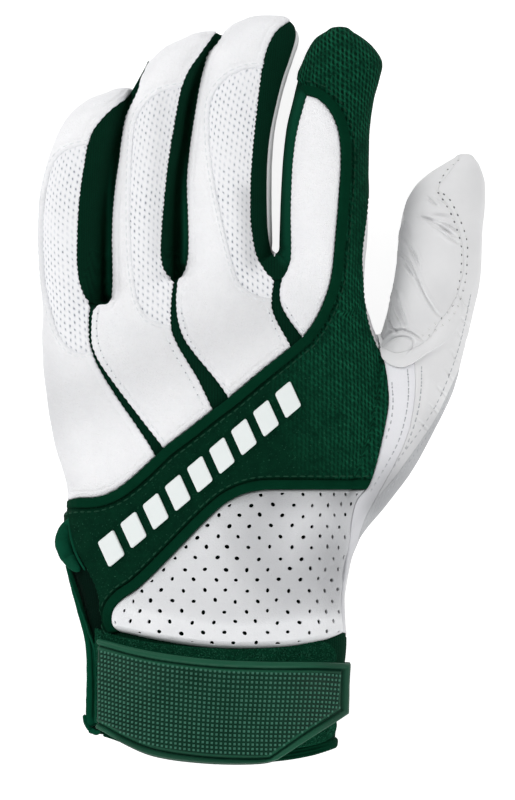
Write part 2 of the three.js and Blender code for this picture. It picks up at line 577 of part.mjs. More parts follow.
// Cuff
const cuffPx = [...cuffEdgePx, ...ventBottomPx.slice(1), [560, 628], [560, 900], [cuffLeftPx, 900]];
const hemBlock = block(hemPx);
const hemBlockAndGap = block(hemPx, seamGap);
addPiece("cuff_back_band", upperWall.intersect(block(cuffPx, inset)).subtract(hemBlockAndGap), greenKnit);
addPiece("cuff_palm_band", lowerWall.intersect(block(cuffZonePx, inset)).subtract(hemBlockAndGap), greenKnit);
const slitOpeningPx = [[0, 600], [cuffLeftPx, 600], [cuffLeftPx, 900], [0, 900]];
const hem = layer(-leatherWall, coverRaise).intersect(hemBlock).subtract(block(slitOpeningPx).subtract(lowerHalf));
addPiece("cuff_hem_binding", hem, greenBinding);
const loopPatch = layer(seamGap, seamGap + pileThickness).subtract(lowerHalf).intersect(block(loopPatchPx)).subtract(hemBlockAndGap);
addPiece("loop_patch", loopPatch, greenPile);

// The slit on the little-finger side: its bound edge, a stretch gusset behind it, and a tab over its upper end
const cordThrough = (points, radius) => {
  const path = new THREE.CatmullRomCurve3(points);
  const circle = new THREE.Path().absarc(0, 0, radius, 0, 2 * Math.PI).getPoints(cordSides).slice(0, -1);
  return solidOf(new THREE.ExtrudeGeometry(new THREE.Shape(circle), { steps: points.length, extrudePath: path }));
};
const slitCord = slitCordRowsPx.map((py) => {
  const row = palm.rowAt(yAt(py));
  const level = row.middle + row.half * slitEdgeShare + seamGap + slitCordRadius;
  return new THREE.Vector3(row.left + seamGap, row.y, level);
});
addPiece("slit_edge_binding", cordThrough(slitCord, slitCordRadius), greenBinding);
const belowSlit = belowLevel(palm, slitEdgeShare, 0, (row) => row.left - cutReach, rightEdge);
const slitGusset = underlay
  .intersect(block(slitGussetPx))
  .subtract(belowSlit)
  .subtract(cordThrough(slitCord, slitCordRadius + seamGap));
addPiece("slit_gusset", slitGusset, greenKnit);

// A piece wrapped round the cuff between two levels, column by column, from one growth of the form to another.
function wrapped(angles, levelsAt, inner, outer) {
  const columnOf = (angle, offset) => levelsAt(angle).map((y) => palm.surfaceAt(y, angle, offset));
  const rings = angles.map((angle) => [...columnOf(angle, outer), ...columnOf(angle, inner).reverse()]);
  return ringSolid(rings, middleOf(rings[0]), middleOf(rings.at(-1)));
}
const tabLevels = [slitTabBottomPx, slitTabTopPx].map(yAt);
const tabInner = bindingRaise + seamGap;
addPiece("slit_tab", wrapped(slitTabAngles, () => tabLevels, tabInner, tabInner + tabThickness), greenRubber);

// The strap is stacked over the loop patch: hook patch, backing, then the moulded grip face in its raised border.
const levelOn = (edgePx, x) => {
  const edge = edgePx.map(placeAt);
  const i = Math.max(1, edge.findIndex((p) => p.x > x));
  const t = (x - edge[i - 1].x) / (edge[i].x - edge[i - 1].x);
  return THREE.MathUtils.lerp(edge[i - 1].y, edge[i].y, t);
};
const strapRow = palm.rowAt(yAt(strapMiddlePx));
const angleAt = (px) => {
  const across = (xAt(px) - centreLine(strapRow)) / ((strapRow.right - strapRow.left) / 2);
  return Math.acos(Math.sign(across) * Math.abs(across) ** (palmSquareness / 2));
};
const strapColumns = (fromPx, toPx) => {
  const from = angleAt(fromPx);
  const to = angleAt(toPx);
  return [from, ...palm.angles.filter((angle) => angle < from && angle > to).reverse(), to];
};
const strapLevels = (margin) => (angle) => {
  const x = palm.pointOn(strapRow, angle).x;
  const high = levelOn(strapTopPx, x) - margin;
  const low = levelOn(strapBottomPx, x) + margin;
  return [low, THREE.MathUtils.lerp(low, high, 1 / 3), THREE.MathUtils.lerp(low, high, 2 / 3), high];
};
const strapLayer = (fromPx, toPx, margin, inner, outer) =>
  wrapped(strapColumns(fromPx, toPx), strapLevels(margin), inner, outer);
const hookBottom = 2 * seamGap + pileThickness;
const backingBottom = hookBottom + hookThickness + seamGap;
const gripBottom = backingBottom + backingThickness + seamGap;
const gripTop = gripBottom + gripThickness;
const borderTop = gripTop + gripBorderRaise;
const hook = strapLayer(hookStartPx, hookEndPx, gripBorderWidth, hookBottom, hookBottom + hookThickness);
const backing = strapLayer(strapStartPx, strapEndPx, 0, backingBottom, backingBottom + backingThickness);
const borderBlank = strapLayer(strapStartPx, strapEndPx, 0, gripBottom, borderTop);
const faceHole = strapLayer(faceHoleStartPx, borderInnerPx, gripBorderWidth, gripBottom - seamGap, borderTop + seamGap);
const face = strapLayer(strapStartPx, faceEndPx, gripBorderWidth + seamGap, gripBottom, gripTop);
addPiece("strap_hook_patch", hook, greenPile);
addPiece("strap_backing", backing, greenBinding);
addPiece("strap_border", borderBlank.subtract(faceHole), greenRubber);
addPiece("strap_grip_face", face, greenRubber);

// The origin is the middle of the glove's footprint, on the table. The strap's hinge line is kept for the record.
const box = new THREE.Box3().setFromObject(group);
const shift = new THREE.Vector3(-(box.min.x + box.max.x) / 2, -(box.min.y + box.max.y) / 2, -box.min.z);
group.children.forEach((piece) => piece.geometry.translate(shift.x, shift.y, shift.z));
const hinge = palm.surfaceAt(yAt(strapMiddlePx), angleAt(strapStartPx), borderTop).add(shift);
group.userData = { hinge: hinge.toArray(), shift: shift.toArray() };

export default group;
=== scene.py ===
"""A left-hand batting glove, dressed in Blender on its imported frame.

Lengths are in millimetres until a mesh is made. Names ending in PX hold places in the photograph, in pixels.
Node settings and the lamps are in metres.
"""
import math

import bpy
import numpy as np
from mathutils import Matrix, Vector
from mathutils.bvhtree import BVHTree


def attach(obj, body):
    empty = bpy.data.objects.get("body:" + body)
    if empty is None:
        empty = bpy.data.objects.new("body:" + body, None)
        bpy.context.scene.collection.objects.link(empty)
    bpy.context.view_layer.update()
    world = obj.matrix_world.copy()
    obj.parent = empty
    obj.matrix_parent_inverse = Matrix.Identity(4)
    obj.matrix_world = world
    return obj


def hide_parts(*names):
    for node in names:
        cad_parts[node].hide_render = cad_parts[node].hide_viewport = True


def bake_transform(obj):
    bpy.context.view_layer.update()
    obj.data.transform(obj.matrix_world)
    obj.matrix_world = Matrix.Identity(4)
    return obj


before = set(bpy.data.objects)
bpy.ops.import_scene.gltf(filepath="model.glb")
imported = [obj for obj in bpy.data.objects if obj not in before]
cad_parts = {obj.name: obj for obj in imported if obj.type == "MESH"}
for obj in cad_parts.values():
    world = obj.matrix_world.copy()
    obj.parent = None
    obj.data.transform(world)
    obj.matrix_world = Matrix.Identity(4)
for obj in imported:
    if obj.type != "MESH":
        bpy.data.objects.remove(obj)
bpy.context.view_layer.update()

MM = 0.001

# The photograph's frame in the row frame
GLOVE_SPAN = 141.0
GLOVE_LENGTH = 235.0
LEFT_PX, RIGHT_PX = 38, 486
TOP_PX, BOTTOM_PX = 14, 762
SHIFT_X, SHIFT_Y = 0.157, -0.0785
MM_X = GLOVE_SPAN / (RIGHT_PX - LEFT_PX)
MM_Y = GLOVE_LENGTH / (BOTTOM_PX - TOP_PX)
PHOTO_WIDTH, PHOTO_HEIGHT = 515, 800

# Heights of the hand form's parts
PALM_HEIGHT = 36.0
FINGER_HEIGHT = 21.0
THUMB_HEIGHT = 25.0
PALM_POWER = 2.4
FINGER_POWER = 2.15
ARC_POWER = 1.3

# Thicknesses and layers, measured from the leather's surface
WALL = 1.25
COVER_RAISE = 0.6
BINDING_RAISE = 1.3
WINDOW_DROP = 0.45
FOURCHETTE_DROP = 0.35
GUSSET_DROP = 0.95
VALLEY_REACH = 9.0
SLIT_REACH = 5.0
WEB_DEPTH = 7.0
VOXEL = 0.62
PALM_SIDES, DIGIT_SIDES = 96, 72
FORM_ROUNDS, EASE_ROUNDS, LEVEL_ROUNDS, AROUND_ROUNDS = 14, 60, 25, 3
EASE_REACH, EASE_ABOVE = 9.0, 12.0
VENT_ROLL = 0.8
STRAP_LIFT, STRAP_BACK_LIFT, STRAP_HOOK_LIFT = 4.5, 3.6, 2.2
TUFTS = 9000

rng = np.random.default_rng(7)


def x_at(px):
    return (np.asarray(px, float) - (LEFT_PX + RIGHT_PX) / 2) * MM_X + SHIFT_X


def y_at(py):
    return ((TOP_PX + BOTTOM_PX) / 2 - np.asarray(py, float)) * MM_Y + SHIFT_Y


def places(px):
    px = np.asarray(px, float)
    return np.column_stack([x_at(px[:, 0]), y_at(px[:, 1])])


# Hand form rows in the photograph: level, left edge, right edge. Shares are the middle and half height.
PALM_PX = [
    [810, 92, 333], [740, 91, 335], [690, 89.5, 341], [640, 87, 346.5], [600, 79, 344.5], [565, 68, 350],
    [530, 66, 363], [495, 68, 371], [440, 54, 384], [400, 48, 388], [360, 43.5, 383], [315, 41, 370],
    [250, 42, 360],
]
PALM_SHARES = [
    [0.51, 0.55], [0.51, 0.55], [0.51, 0.55], [0.49, 0.53], [0.48, 0.52], [0.475, 0.515], [0.47, 0.51],
    [0.47, 0.51], [0.47, 0.51], [0.465, 0.505], [0.455, 0.495], [0.42, 0.43], [0.38, 0.33],
]
PALM_SEAM_SHARES = [0.15, 0.15, 0.15, 0.15, 0.15, 0.15, 0.1, 0, -0.08, -0.12, -0.15, -0.1, -0.05]
PINKY_PX = [
    [345, 48, 102], [285, 40.5, 105], [235, 38, 105.3], [200, 39.3, 108.2], [165, 46.5, 113.5],
    [135, 57, 118.6], [113, 70.5, 124], [98, 89, 130], [91, 108, 132],
]
PINKY_SHARES = [
    [0.64, 0.5], [0.66, 0.54], [0.69, 0.52], [0.66, 0.51], [0.6, 0.49], [0.52, 0.47], [0.44, 0.41],
    [0.38, 0.32], [0.35, 0.18],
]
RING_PX = [
    [330, 108, 174], [280, 109.2, 175.7], [225, 110, 176.7], [180, 115.2, 178.7], [140, 121.6, 184.8],
    [108, 129.4, 189.4], [82, 138.5, 195.6], [62, 149, 203], [47, 164, 210.5], [36, 186, 218],
]
RING_SHARES = [
    [0.68, 0.54], [0.71, 0.57], [0.74, 0.55], [0.71, 0.54], [0.65, 0.52], [0.56, 0.49], [0.49, 0.46],
    [0.43, 0.41], [0.38, 0.33], [0.35, 0.2],
]
MIDDLE_PX = [
    [320, 183, 268], [270, 180.6, 272.8], [220, 181.2, 271.8], [175, 183.9, 271.5], [138, 188.9, 273.8],
    [105, 193.2, 279.8], [78, 199.8, 286.8], [56, 207.5, 294], [38, 219, 299], [24, 231, 295],
    [17, 247, 288],
]
MIDDLE_SHARES = [
    [0.7, 0.55], [0.73, 0.59], [0.76, 0.57], [0.73, 0.55], [0.67, 0.53], [0.58, 0.5], [0.5, 0.47],
    [0.44, 0.42], [0.38, 0.35], [0.35, 0.25], [0.34, 0.14],
]
INDEX_PX = [
    [335, 284, 366], [280, 277.5, 364], [225, 278.6, 367.3], [170, 281.0, 366.8], [130, 285.0, 367.8],
    [100, 291.8, 372], [78, 297.3, 378], [64, 303.2, 381], [50, 309.5, 374], [38, 317.5, 361.5],
    [31, 329, 350],
]
INDEX_SHARES = [
    [0.68, 0.54], [0.72, 0.57], [0.75, 0.55], [0.69, 0.53], [0.59, 0.51], [0.52, 0.48], [0.46, 0.44],
    [0.43, 0.41], [0.38, 0.34], [0.35, 0.25], [0.34, 0.14],
]
THUMB_PX = [
    [580, 308, 342], [540, 312, 359], [505, 319, 386.5], [470, 328.5, 412.5], [430, 341.5, 434.5],
    [390, 358, 453.5], [350, 375, 464], [310, 388, 474], [270, 395.5, 481], [230, 400, 482.5],
    [203, 406, 485], [185, 416, 485], [170, 433.5, 481.5], [161, 448, 477.5], [156.5, 455.5, 473.5],
]
THUMB_SHARES = [
    [0.6, 0.46], [0.61, 0.52], [0.61, 0.55], [0.59, 0.55], [0.57, 0.54], [0.55, 0.53], [0.53, 0.51],
    [0.52, 0.5], [0.51, 0.49], [0.49, 0.48], [0.46, 0.45], [0.42, 0.4], [0.37, 0.32], [0.35, 0.2],
    [0.34, 0.12],
]
TIPS_PX = {
    "pinky": [125, 87], "ring": [210, 30], "middle": [269, 14], "index": [340, 27.5], "thumb": [465, 153],
}
FINGER_SEAM_SHARE = 0.06
THUMB_SEAM_SHARE = 0.02
PALM_FRONT_PX = [
    [0, 330], [41, 318], [100, 303], [107, 302], [115, 300], [170, 281], [178, 279], [190, 275], [262, 262],
    [269, 256], [275, 252.5], [281, 255], [286, 262], [360, 300], [374, 318], [400, 340], [560, 340],
    [560, 850], [0, 850],
]

# Seams on the back of the hand
PINKY_RIGHT_PX = [
    [139, 82], [131.5, 92], [127, 98], [110, 111], [95, 128], [90, 139], [87, 152], [81, 192], [79, 216],
    [78, 262], [80, 280], [84, 293], [90, 302],
]
PINKY_KNUCKLE_PX = [
    [90, 302], [88.5, 320], [89.5, 342], [95, 360], [104, 377], [116, 396], [145, 438], [156, 456],
]
RING_LEFT_PX = [
    [151, 58], [145, 70], [138, 88], [132.5, 100], [126.5, 112], [121.5, 134], [118.5, 160], [115, 184],
    [112.3, 215], [111.5, 240], [112, 262], [112, 285], [110.5, 299], [107, 304],
]
RING_KNUCKLE_LEFT_PX = [
    [107, 304], [98, 305.5], [93.5, 311], [92, 325], [92, 342], [97, 357], [107, 373], [164, 448],
]
RING_RIGHT_PX = [
    [219, 27], [212, 38], [200, 55], [188, 73], [183.5, 85], [170, 157], [165, 203], [162, 250], [163, 264],
    [167, 273], [173, 279],
]
RING_KNUCKLE_PX = [[173, 279], [171.5, 328], [178, 345], [198, 379], [213, 410]]
MIDDLE_LEFT_PX = [
    [226, 26], [218, 40], [208.5, 52], [203.5, 66], [200, 80], [194.5, 112], [190, 142], [186.4, 180],
    [187.3, 212], [188, 240], [187.3, 258], [184.5, 270], [178, 280],
]
MIDDLE_KNUCKLE_LEFT_PX = [
    [178, 280], [176.5, 300], [178, 318], [184, 337], [194, 352], [218, 382], [229, 398],
]
MIDDLE_RIGHT_PX = [
    [291, 19], [282, 25], [275, 32], [270, 41], [266, 52], [263, 66], [253, 156], [251, 205], [252, 228],
    [255, 247], [260, 262], [267, 273], [274, 280],
]
MIDDLE_KNUCKLE_PX = [[274, 280], [272, 308], [291, 347]]
INDEX_LEFT_PX = [
    [306, 95], [297, 128], [294, 145], [292, 163], [290, 210], [290, 258], [287, 271], [282, 279],
]
INDEX_KNUCKLE_PX = [[282, 279], [280, 291], [281.5, 304], [287, 315], [303, 337]]
INSERT_RIGHT_PX = [
    [303, 337], [312, 325], [320, 311], [326, 296], [331, 278], [336, 232], [341, 160], [340, 141],
    [337, 126], [331, 113], [323, 103], [314, 97], [306, 95],
]
INDEX_TIP_PX = [[306, 95], [300, 84], [294, 74]]
MIDDLE_INDEX_GAP_PX = [[294, 74], [298, 62], [301, 50], [304, 38], [306, 5]]
COVER_TOP_PINKY_PX = [
    [40, 503], [58, 502], [69, 499.5], [80, 498], [95, 497.5], [110, 493], [122, 486], [138, 473],
    [156, 456],
]
COVER_TOP_REST_PX = [
    [156, 456], [164, 448], [185, 432], [213, 410], [229, 398], [260, 372], [291, 347], [303, 337],
]
COVER_RIGHT_PX = [
    [379, 350], [384, 364], [387, 384], [388, 402], [385, 422], [376, 463], [370, 482], [366, 489],
]
VENT_TOP_PX = [
    [366, 489], [330, 489], [290, 489], [262, 489.5], [245, 493], [228, 501], [213, 513], [140, 586],
    [122, 599], [114.5, 610], [115, 622], [121, 631],
]
VENT_BOTTOM_PX = [
    [121, 631], [150, 637.5], [200, 645.5], [245, 647.5], [290, 645.5], [325, 639], [337, 635],
    [343, 632.5],
]
VENT_RIGHT_PX = [[343, 632.5], [342, 600], [345.5, 572], [349.5, 545], [352.5, 515], [357, 500], [366, 489]]
SLIT_BACK_PX = [[104, 634], [102, 612], [98, 590], [90, 572], [71, 541], [60, 527], [40, 522]]
PINKY_MESH_PX = [
    [100, 148], [87, 145], [76, 147], [65, 151], [57, 158], [51, 169], [46.5, 188], [43.5, 212],
    [42.5, 240], [43.5, 266], [46, 290], [52, 314], [60, 336], [70, 348], [84, 353], [95, 344], [110, 300],
]
RING_MESH_PX = [
    [190, 87], [171, 89], [159, 93], [148, 101], [140, 111], [135, 123], [131.5, 163], [131, 238],
    [135, 285], [140, 304], [147, 316], [158, 322], [176, 323], [185, 270],
]
MIDDLE_MESH_PX = [
    [270, 68], [251, 68], [240, 71], [228, 77], [218, 87], [211.5, 98], [209, 113], [209, 131], [210, 151],
    [216, 191], [234.5, 269], [241, 284], [251, 292], [262, 296.5], [279, 296], [285, 280],
]
INDEX_EDGE_PX = [
    [372, 180], [367.5, 195], [366, 215], [362.5, 240], [361, 258], [362, 280], [363.5, 300], [367, 320],
    [372, 338], [378, 352],
]
MIDDLE_EDGE_PX = [
    [297, 26], [296.5, 38], [291, 58], [283.5, 80], [278.5, 100], [272, 130], [269, 155], [268, 180],
    [268, 205], [269.5, 235], [273, 252], [276, 262],
]
PINKY_RING_WEB_PX = [
    [129.5, 101], [123.5, 122], [118.7, 145], [113.7, 168], [110.2, 192], [108.6, 215], [108, 255],
    [107.5, 296],
]
RING_MIDDLE_WEB_PX = [
    [205, 62], [197, 95], [190, 122], [185, 150], [181, 175], [178.5, 205], [178, 240], [178, 276],
]
THUMB_SEAM_TOP_PX = [
    [459, 158], [448, 174], [438, 190], [451, 211], [459, 232], [463, 255], [462, 275], [457, 293],
]
THUMB_SEAM_LOW_PX = [[457, 293], [448, 310], [438, 323], [430, 337]]
WEB_OUTER_PX = [
    [457, 293], [459.8, 304], [458.8, 316], [453, 331], [441, 343.5], [425, 354], [414, 362.5],
    [402, 367.5], [391, 365.5], [384, 360], [379, 350],
]
WEB_BACK_PX = [[457, 293], [459.8, 304], [458.8, 316], [453, 331], [441, 343.5], [425, 354], [414, 362.5]]
WEB_INNER_PX = [[430, 337], [420, 345], [408, 350], [396, 353], [387, 350], [380.5, 346]]
WEB_WRIST_PX = [[414, 362.5], [402, 367.5], [391, 365.5], [384, 360], [379, 350]]
SIDE_RIGHT_PX = [[414, 362.5], [415, 385], [414, 401], [411, 421], [405, 441], [396, 461], [375, 499]]
OUTER_SEAM_PX = [
    [375, 499], [391, 481], [421, 440], [437, 415], [449, 390], [460, 366], [472, 330], [481, 300],
    [488, 276], [494, 258],
]
WRIST_RIGHT_PX = [[375, 499], [365, 518], [358, 540]]
HEM_PX = [
    [0, 728], [60, 731], [92, 734], [105, 736], [150, 751], [185, 758], [230, 761.5], [275, 760],
    [310, 755], [370, 740], [560, 735],
]
CUFF_ZONE_PX = [[0, 641], [150, 645], [245, 654], [325, 646], [351, 635], [560, 632]]
LOOP_PX = [
    [97, 627], [112, 633], [150, 641], [200, 646], [245, 647.5], [290, 645], [318, 640], [330, 645],
    [335, 656], [334, 700], [331, 735], [290, 748], [230, 753], [180, 750], [140, 740], [121, 733],
    [97, 722],
]
STRAP_BOTTOM_PX = [[120, 738], [150, 748.5], [190, 756.5], [230, 760], [262, 760]]
STRAP_MIDDLE_PX = 700
BARS_START_PX = [113, 548]
BARS_END_PX = [299, 390]


# Numbers on meshes: smooth lines, distances, cutting, refining


def spline(x, y, at):
    """A monotone cubic through the points (x, y), read at the places `at`."""
    gap = np.diff(x)
    slope = np.diff(y) / gap
    lean = np.empty_like(y)
    lean[0], lean[-1] = slope[0], slope[-1]
    same = slope[:-1] * slope[1:] > 0
    total = np.where(same, slope[:-1] + slope[1:], 1.0)
    lean[1:-1] = np.where(same, 2 * slope[:-1] * slope[1:] / total, 0.0)
    i = np.clip(np.searchsorted(x, at) - 1, 0, len(x) - 2)
    t = (at - x[i]) / gap[i]
    a = (1 + 2 * t) * (1 - t) ** 2 * y[i] + t * (1 - t) ** 2 * gap[i] * lean[i]
    return a + t * t * (3 - 2 * t) * y[i + 1] + t * t * (t - 1) * gap[i] * lean[i + 1]


def smooth_line(points, step=0.5):
    """Points every `step` mm on a centripetal Catmull-Rom curve through the given points (2D or 3D)."""
    p = np.asarray(points, float)
    p = np.vstack([2 * p[0] - p[1], p, 2 * p[-1] - p[-2]])
    out = []
    for a, b, c, d in zip(p[:-3], p[1:-2], p[2:-1], p[3:]):
        k1 = np.linalg.norm(b - a) ** 0.5
        k2 = k1 + np.linalg.norm(c - b) ** 0.5
        k3 = k2 + np.linalg.norm(d - c) ** 0.5
        count = max(2, int(np.linalg.norm(c - b) / step) + 1)
        t = np.linspace(k1, k2, count, endpoint=False)[:, None]
        ab = a * (k1 - t) / k1 + b * t / k1
        bc = b * (k2 - t) / (k2 - k1) + c * (t - k1) / (k2 - k1)
        cd = c * (k3 - t) / (k3 - k2) + d * (t - k2) / (k3 - k2)
        abc = ab * (k2 - t) / k2 + bc * t / k2
        bcd = bc * (k3 - t) / (k3 - k1) + cd * (t - k1) / (k3 - k1)
        out.append(abc * (k2 - t) / (k2 - k1) + bcd * (t - k1) / (k2 - k1))
    return np.vstack(out + [p[-2:-1]])


def line(px, step=0.9):
    return smooth_line(places(px), step)


def reach_of(way):
    """How far along a line each of its points is."""
    return np.concatenate([[0], np.cumsum(np.linalg.norm(np.diff(way, axis=0), axis=1))])


def smooth_share(share):
    """A share from 0 to 1 with a soft start and end."""
    return share * share * (3 - 2 * share)


def hump(distance, width):
    return np.exp(-((distance / width) ** 2))


def swelling(depth, reach):
    """0 at a seam, rising to 1 inside the piece."""
    return 1 - np.exp(-np.maximum(depth, 0) / reach)


def outline(*edges):
    """One closed outline in mm from edges in pixels; (edge, -1) runs backwards, a pair is a corner."""
    parts = []
    for edge in edges:
        if isinstance(edge, tuple):
            parts.append(line(edge[0])[::-1])
        elif np.ndim(edge) == 1:
            parts.append(places([edge]))
        else:
            parts.append(line(edge))
    ring = np.vstack(parts)
    keep = np.linalg.norm(ring - np.roll(ring, 1, 0), axis=1) > 0.02
    return ring[keep]


FAR = 1e3
CELL = 5.0


def span(points, a, b):
    """The distance from every 2D point to every segment a to b."""
    ab = b - a
    ap = points[:, None, :] - a
    t = np.clip((ap * ab).sum(-1) / np.maximum((ab**2).sum(1), 1e-12), 0, 1)
    return np.sqrt(((ap - t[..., None] * ab) ** 2).sum(-1))


def in_cells(points):
    """The middles of the square cells that hold points, and each cell's points."""
    key = np.floor(points / CELL).astype(np.int64)
    code = key[:, 0] * 4096 + key[:, 1]
    order = np.argsort(code, kind="stable")
    groups = np.split(order, np.flatnonzero(np.diff(code[order])) + 1)
    return (key[[g[0] for g in groups]] + 0.5) * CELL, groups


def to_segments(points, a, b):
    """Distance from each 2D point to the nearest of the segments a to b."""
    out = np.empty(len(points))
    if not len(points):
        return out
    middles, groups = in_cells(points)
    rough = span(middles, a, b)
    keep = rough < rough.min(1, keepdims=True) + CELL * 1.45
    for group, near in zip(groups, keep):
        out[group] = span(points[group], a[near], b[near]).min(1)
    return out


def is_inside(points, a, b):
    rise = np.where(b[:, 1] == a[:, 1], 1e-9, b[:, 1] - a[:, 1])
    level = (a[:, 1] > points[:, 1:]) != (b[:, 1] > points[:, 1:])
    cross = a[:, 0] + (b[:, 0] - a[:, 0]) * (points[:, 1:] - a[:, 1]) / rise
    return (level & (points[:, :1] < cross)).sum(1) % 2 == 1


def inside(points, ring):
    """Signed distance of 2D points to a closed outline, positive inside it."""
    a, b = ring, np.roll(ring, -1, 0)
    out = np.full(len(points), -FAR)
    near = np.flatnonzero(((points > ring.min(0) - 4) & (points < ring.max(0) + 4)).all(1))
    if not len(near):
        return out
    p = points[near]
    middles, groups = in_cells(p)
    rough = span(middles, a, b)
    least = rough.min(1)
    keep = rough < least[:, None] + CELL * 1.45
    whole = is_inside(middles, a, b)
    value = np.empty(len(p))
    for group, close, far, side in zip(groups, keep, least > CELL * 0.72, whole):
        q = p[group]
        within = side if far else is_inside(q, a, b)
        value[group] = np.where(within, 1, -1) * span(q, a[close], b[close]).min(1)
    out[near] = value
    return out


def off_line(points, way):
    """Distance of points, seen from above, to an open line."""
    return to_segments(points[:, :2], way[:-1], way[1:])


def edges_of(faces, count):
    pairs = np.sort(np.vstack([faces[:, [0, 1]], faces[:, [1, 2]], faces[:, [2, 0]]]), 1)
    key = pairs[:, 0].astype(np.int64) * count + pairs[:, 1]
    _, index, inverse, uses = np.unique(key, return_index=True, return_inverse=True, return_counts=True)
    return pairs[index], inverse.reshape(3, -1).T, uses


def soften(values, faces, rounds, weight=0.5, pairs=None):
    """Averages a value on each vertex with its neighbours."""
    if pairs is None:
        pairs, _, _ = edges_of(faces, len(values))
    count = np.maximum(np.bincount(pairs.ravel(), minlength=len(values)), 1)
    flat = values.reshape(len(values), -1).copy()
    for _ in range(rounds):
        for c in range(flat.shape[1]):
            total = np.bincount(pairs[:, 0], flat[pairs[:, 1], c], len(flat))
            total += np.bincount(pairs[:, 1], flat[pairs[:, 0], c], len(flat))
            flat[:, c] += weight * (total / count - flat[:, c])
    return flat.reshape(values.shape)


def taubin(points, faces, rounds):
    """Smooths a mesh without shrinking it."""
    pairs, _, _ = edges_of(faces, len(points))
    for _ in range(rounds):
        points = soften(points, faces, 1, 0.5, pairs)
        points = soften(points, faces, 1, -0.52, pairs)
    return points


def normals_of(points, faces):
    a, b, c = (points[faces[:, k]] for k in range(3))
    flat = np.cross(b - a, c - a)
    out = np.column_stack([
        sum(np.bincount(faces[:, k], flat[:, axis], len(points)) for k in range(3)) for axis in range(3)
    ])
    return out / np.maximum(np.linalg.norm(out, axis=1, keepdims=True), 1e-12)


class Patch:
    """Triangles with a few values kept on each vertex."""

    def __init__(self, points, faces, values):
        self.points, self.faces, self.values = points, faces, values

    def only(self, faces):
        used = np.unique(faces)
        place = np.full(len(self.points), -1)
        place[used] = np.arange(len(used))
        values = {k: v[used] for k, v in self.values.items()}
        return Patch(self.points[used], place[faces], values)

    def normals(self):
        normal = self.values["normal"]
        return normal / np.linalg.norm(normal, axis=1, keepdims=True)

    def near(self, depth, margin):
        return self.only(self.faces[(depth[self.faces] > -margin).any(1)])

    def refined(self):
        """Every triangle cut in four, the new points lifted onto the curved surface."""
        normals = normals_of(self.points, self.faces)
        pairs, index, _ = edges_of(self.faces, len(self.points))
        i, j = pairs.T
        way = self.points[j] - self.points[i]
        at_i = way - (way * normals[i]).sum(1, keepdims=True) * normals[i]
        at_j = way - (way * normals[j]).sum(1, keepdims=True) * normals[j]
        middle = (self.points[i] + self.points[j]) / 2 + (at_i - at_j) / 8
        values = {k: np.concatenate([v, (v[i] + v[j]) / 2]) for k, v in self.values.items()}
        ab, bc, ca = (index + len(self.points)).T
        a, b, c = self.faces.T
        faces = np.vstack(
            [np.column_stack(t) for t in ((a, ab, ca), (b, bc, ab), (c, ca, bc), (ab, bc, ca))]
        )
        return Patch(np.vstack([self.points, middle]), faces, values)

    def split(self, key, level, keep_low=True):
        """Cuts the triangles along the line where a value passes a level."""
        side = self.values[key] - level
        side = np.where(np.abs(side) < 0.03, 0.0, side)
        sign = np.sign(side).astype(int)
        corner = sign[self.faces]
        mixed = (corner.max(1) > 0) & (corner.min(1) < 0)
        whole = self.faces[~mixed]
        above = corner[~mixed].max(1) > 0
        parts = [(whole[above], True), (whole[~above], False)]
        work = self.faces[mixed]
        corner = corner[mixed]
        total = corner.sum(1)
        lone = np.where(total > 0, corner.argmin(1), corner.argmax(1))
        lone = np.where((corner == 0).any(1), (corner == 0).argmax(1), lone)
        turn = (lone[:, None] + np.arange(3)) % 3
        work = np.take_along_axis(work, turn, 1)
        corner = np.take_along_axis(corner, turn, 1)
        touching = corner[:, 0] == 0
        fresh = [work[touching][:, [1, 2]], work[~touching][:, [0, 1]], work[~touching][:, [0, 2]]]
        pairs = np.sort(np.vstack(fresh), 1)
        unique, inverse = np.unique(pairs, axis=0, return_inverse=True)
        inverse = inverse.reshape(-1) + len(self.points)
        i, j = unique.T
        t = side[i] / (side[i] - side[j])
        mix = lambda v: np.concatenate([v, (v[i].T * (1 - t) + v[j].T * t).T])
        points = mix(self.points)
        values = {k: mix(v) for k, v in self.values.items()}
        first = len(fresh[0])
        second = first + len(fresh[1])
        m, p, q = inverse[:first], inverse[first:second], inverse[second:]
        w, c = work[touching], corner[touching]
        parts.append((np.column_stack([w[:, 0], w[:, 1], m])[c[:, 1] > 0], True))
        parts.append((np.column_stack([w[:, 0], w[:, 1], m])[c[:, 1] < 0], False))
        parts.append((np.column_stack([w[:, 0], m, w[:, 2]])[c[:, 2] > 0], True))
        parts.append((np.column_stack([w[:, 0], m, w[:, 2]])[c[:, 2] < 0], False))
        w, c = work[~touching], corner[~touching][:, 0] > 0
        tip = np.column_stack([w[:, 0], p, q])
        base = [np.column_stack([p, w[:, 1], w[:, 2]]), np.column_stack([p, w[:, 2], q])]
        parts += [(tip[c], True), (tip[~c], False)]
        for part in base:
            parts += [(part[~c], True), (part[c], False)]
        faces = np.vstack([f for f, high in parts if high or keep_low])
        return Patch(points, faces, values).only(faces)


# Seeded noise on points


def lattice(cells, seed):
    """A number from -1 to 1 for each whole-number place."""
    h = cells[..., 0] * 73856093 ^ cells[..., 1] * 19349663 ^ cells[..., 2] * 83492791 ^ seed * 2654435761
    h = (h ^ (h >> 13)) * 1274126177
    h = h ^ (h >> 16)
    return (h & 0xFFFF) / 32767.5 - 1


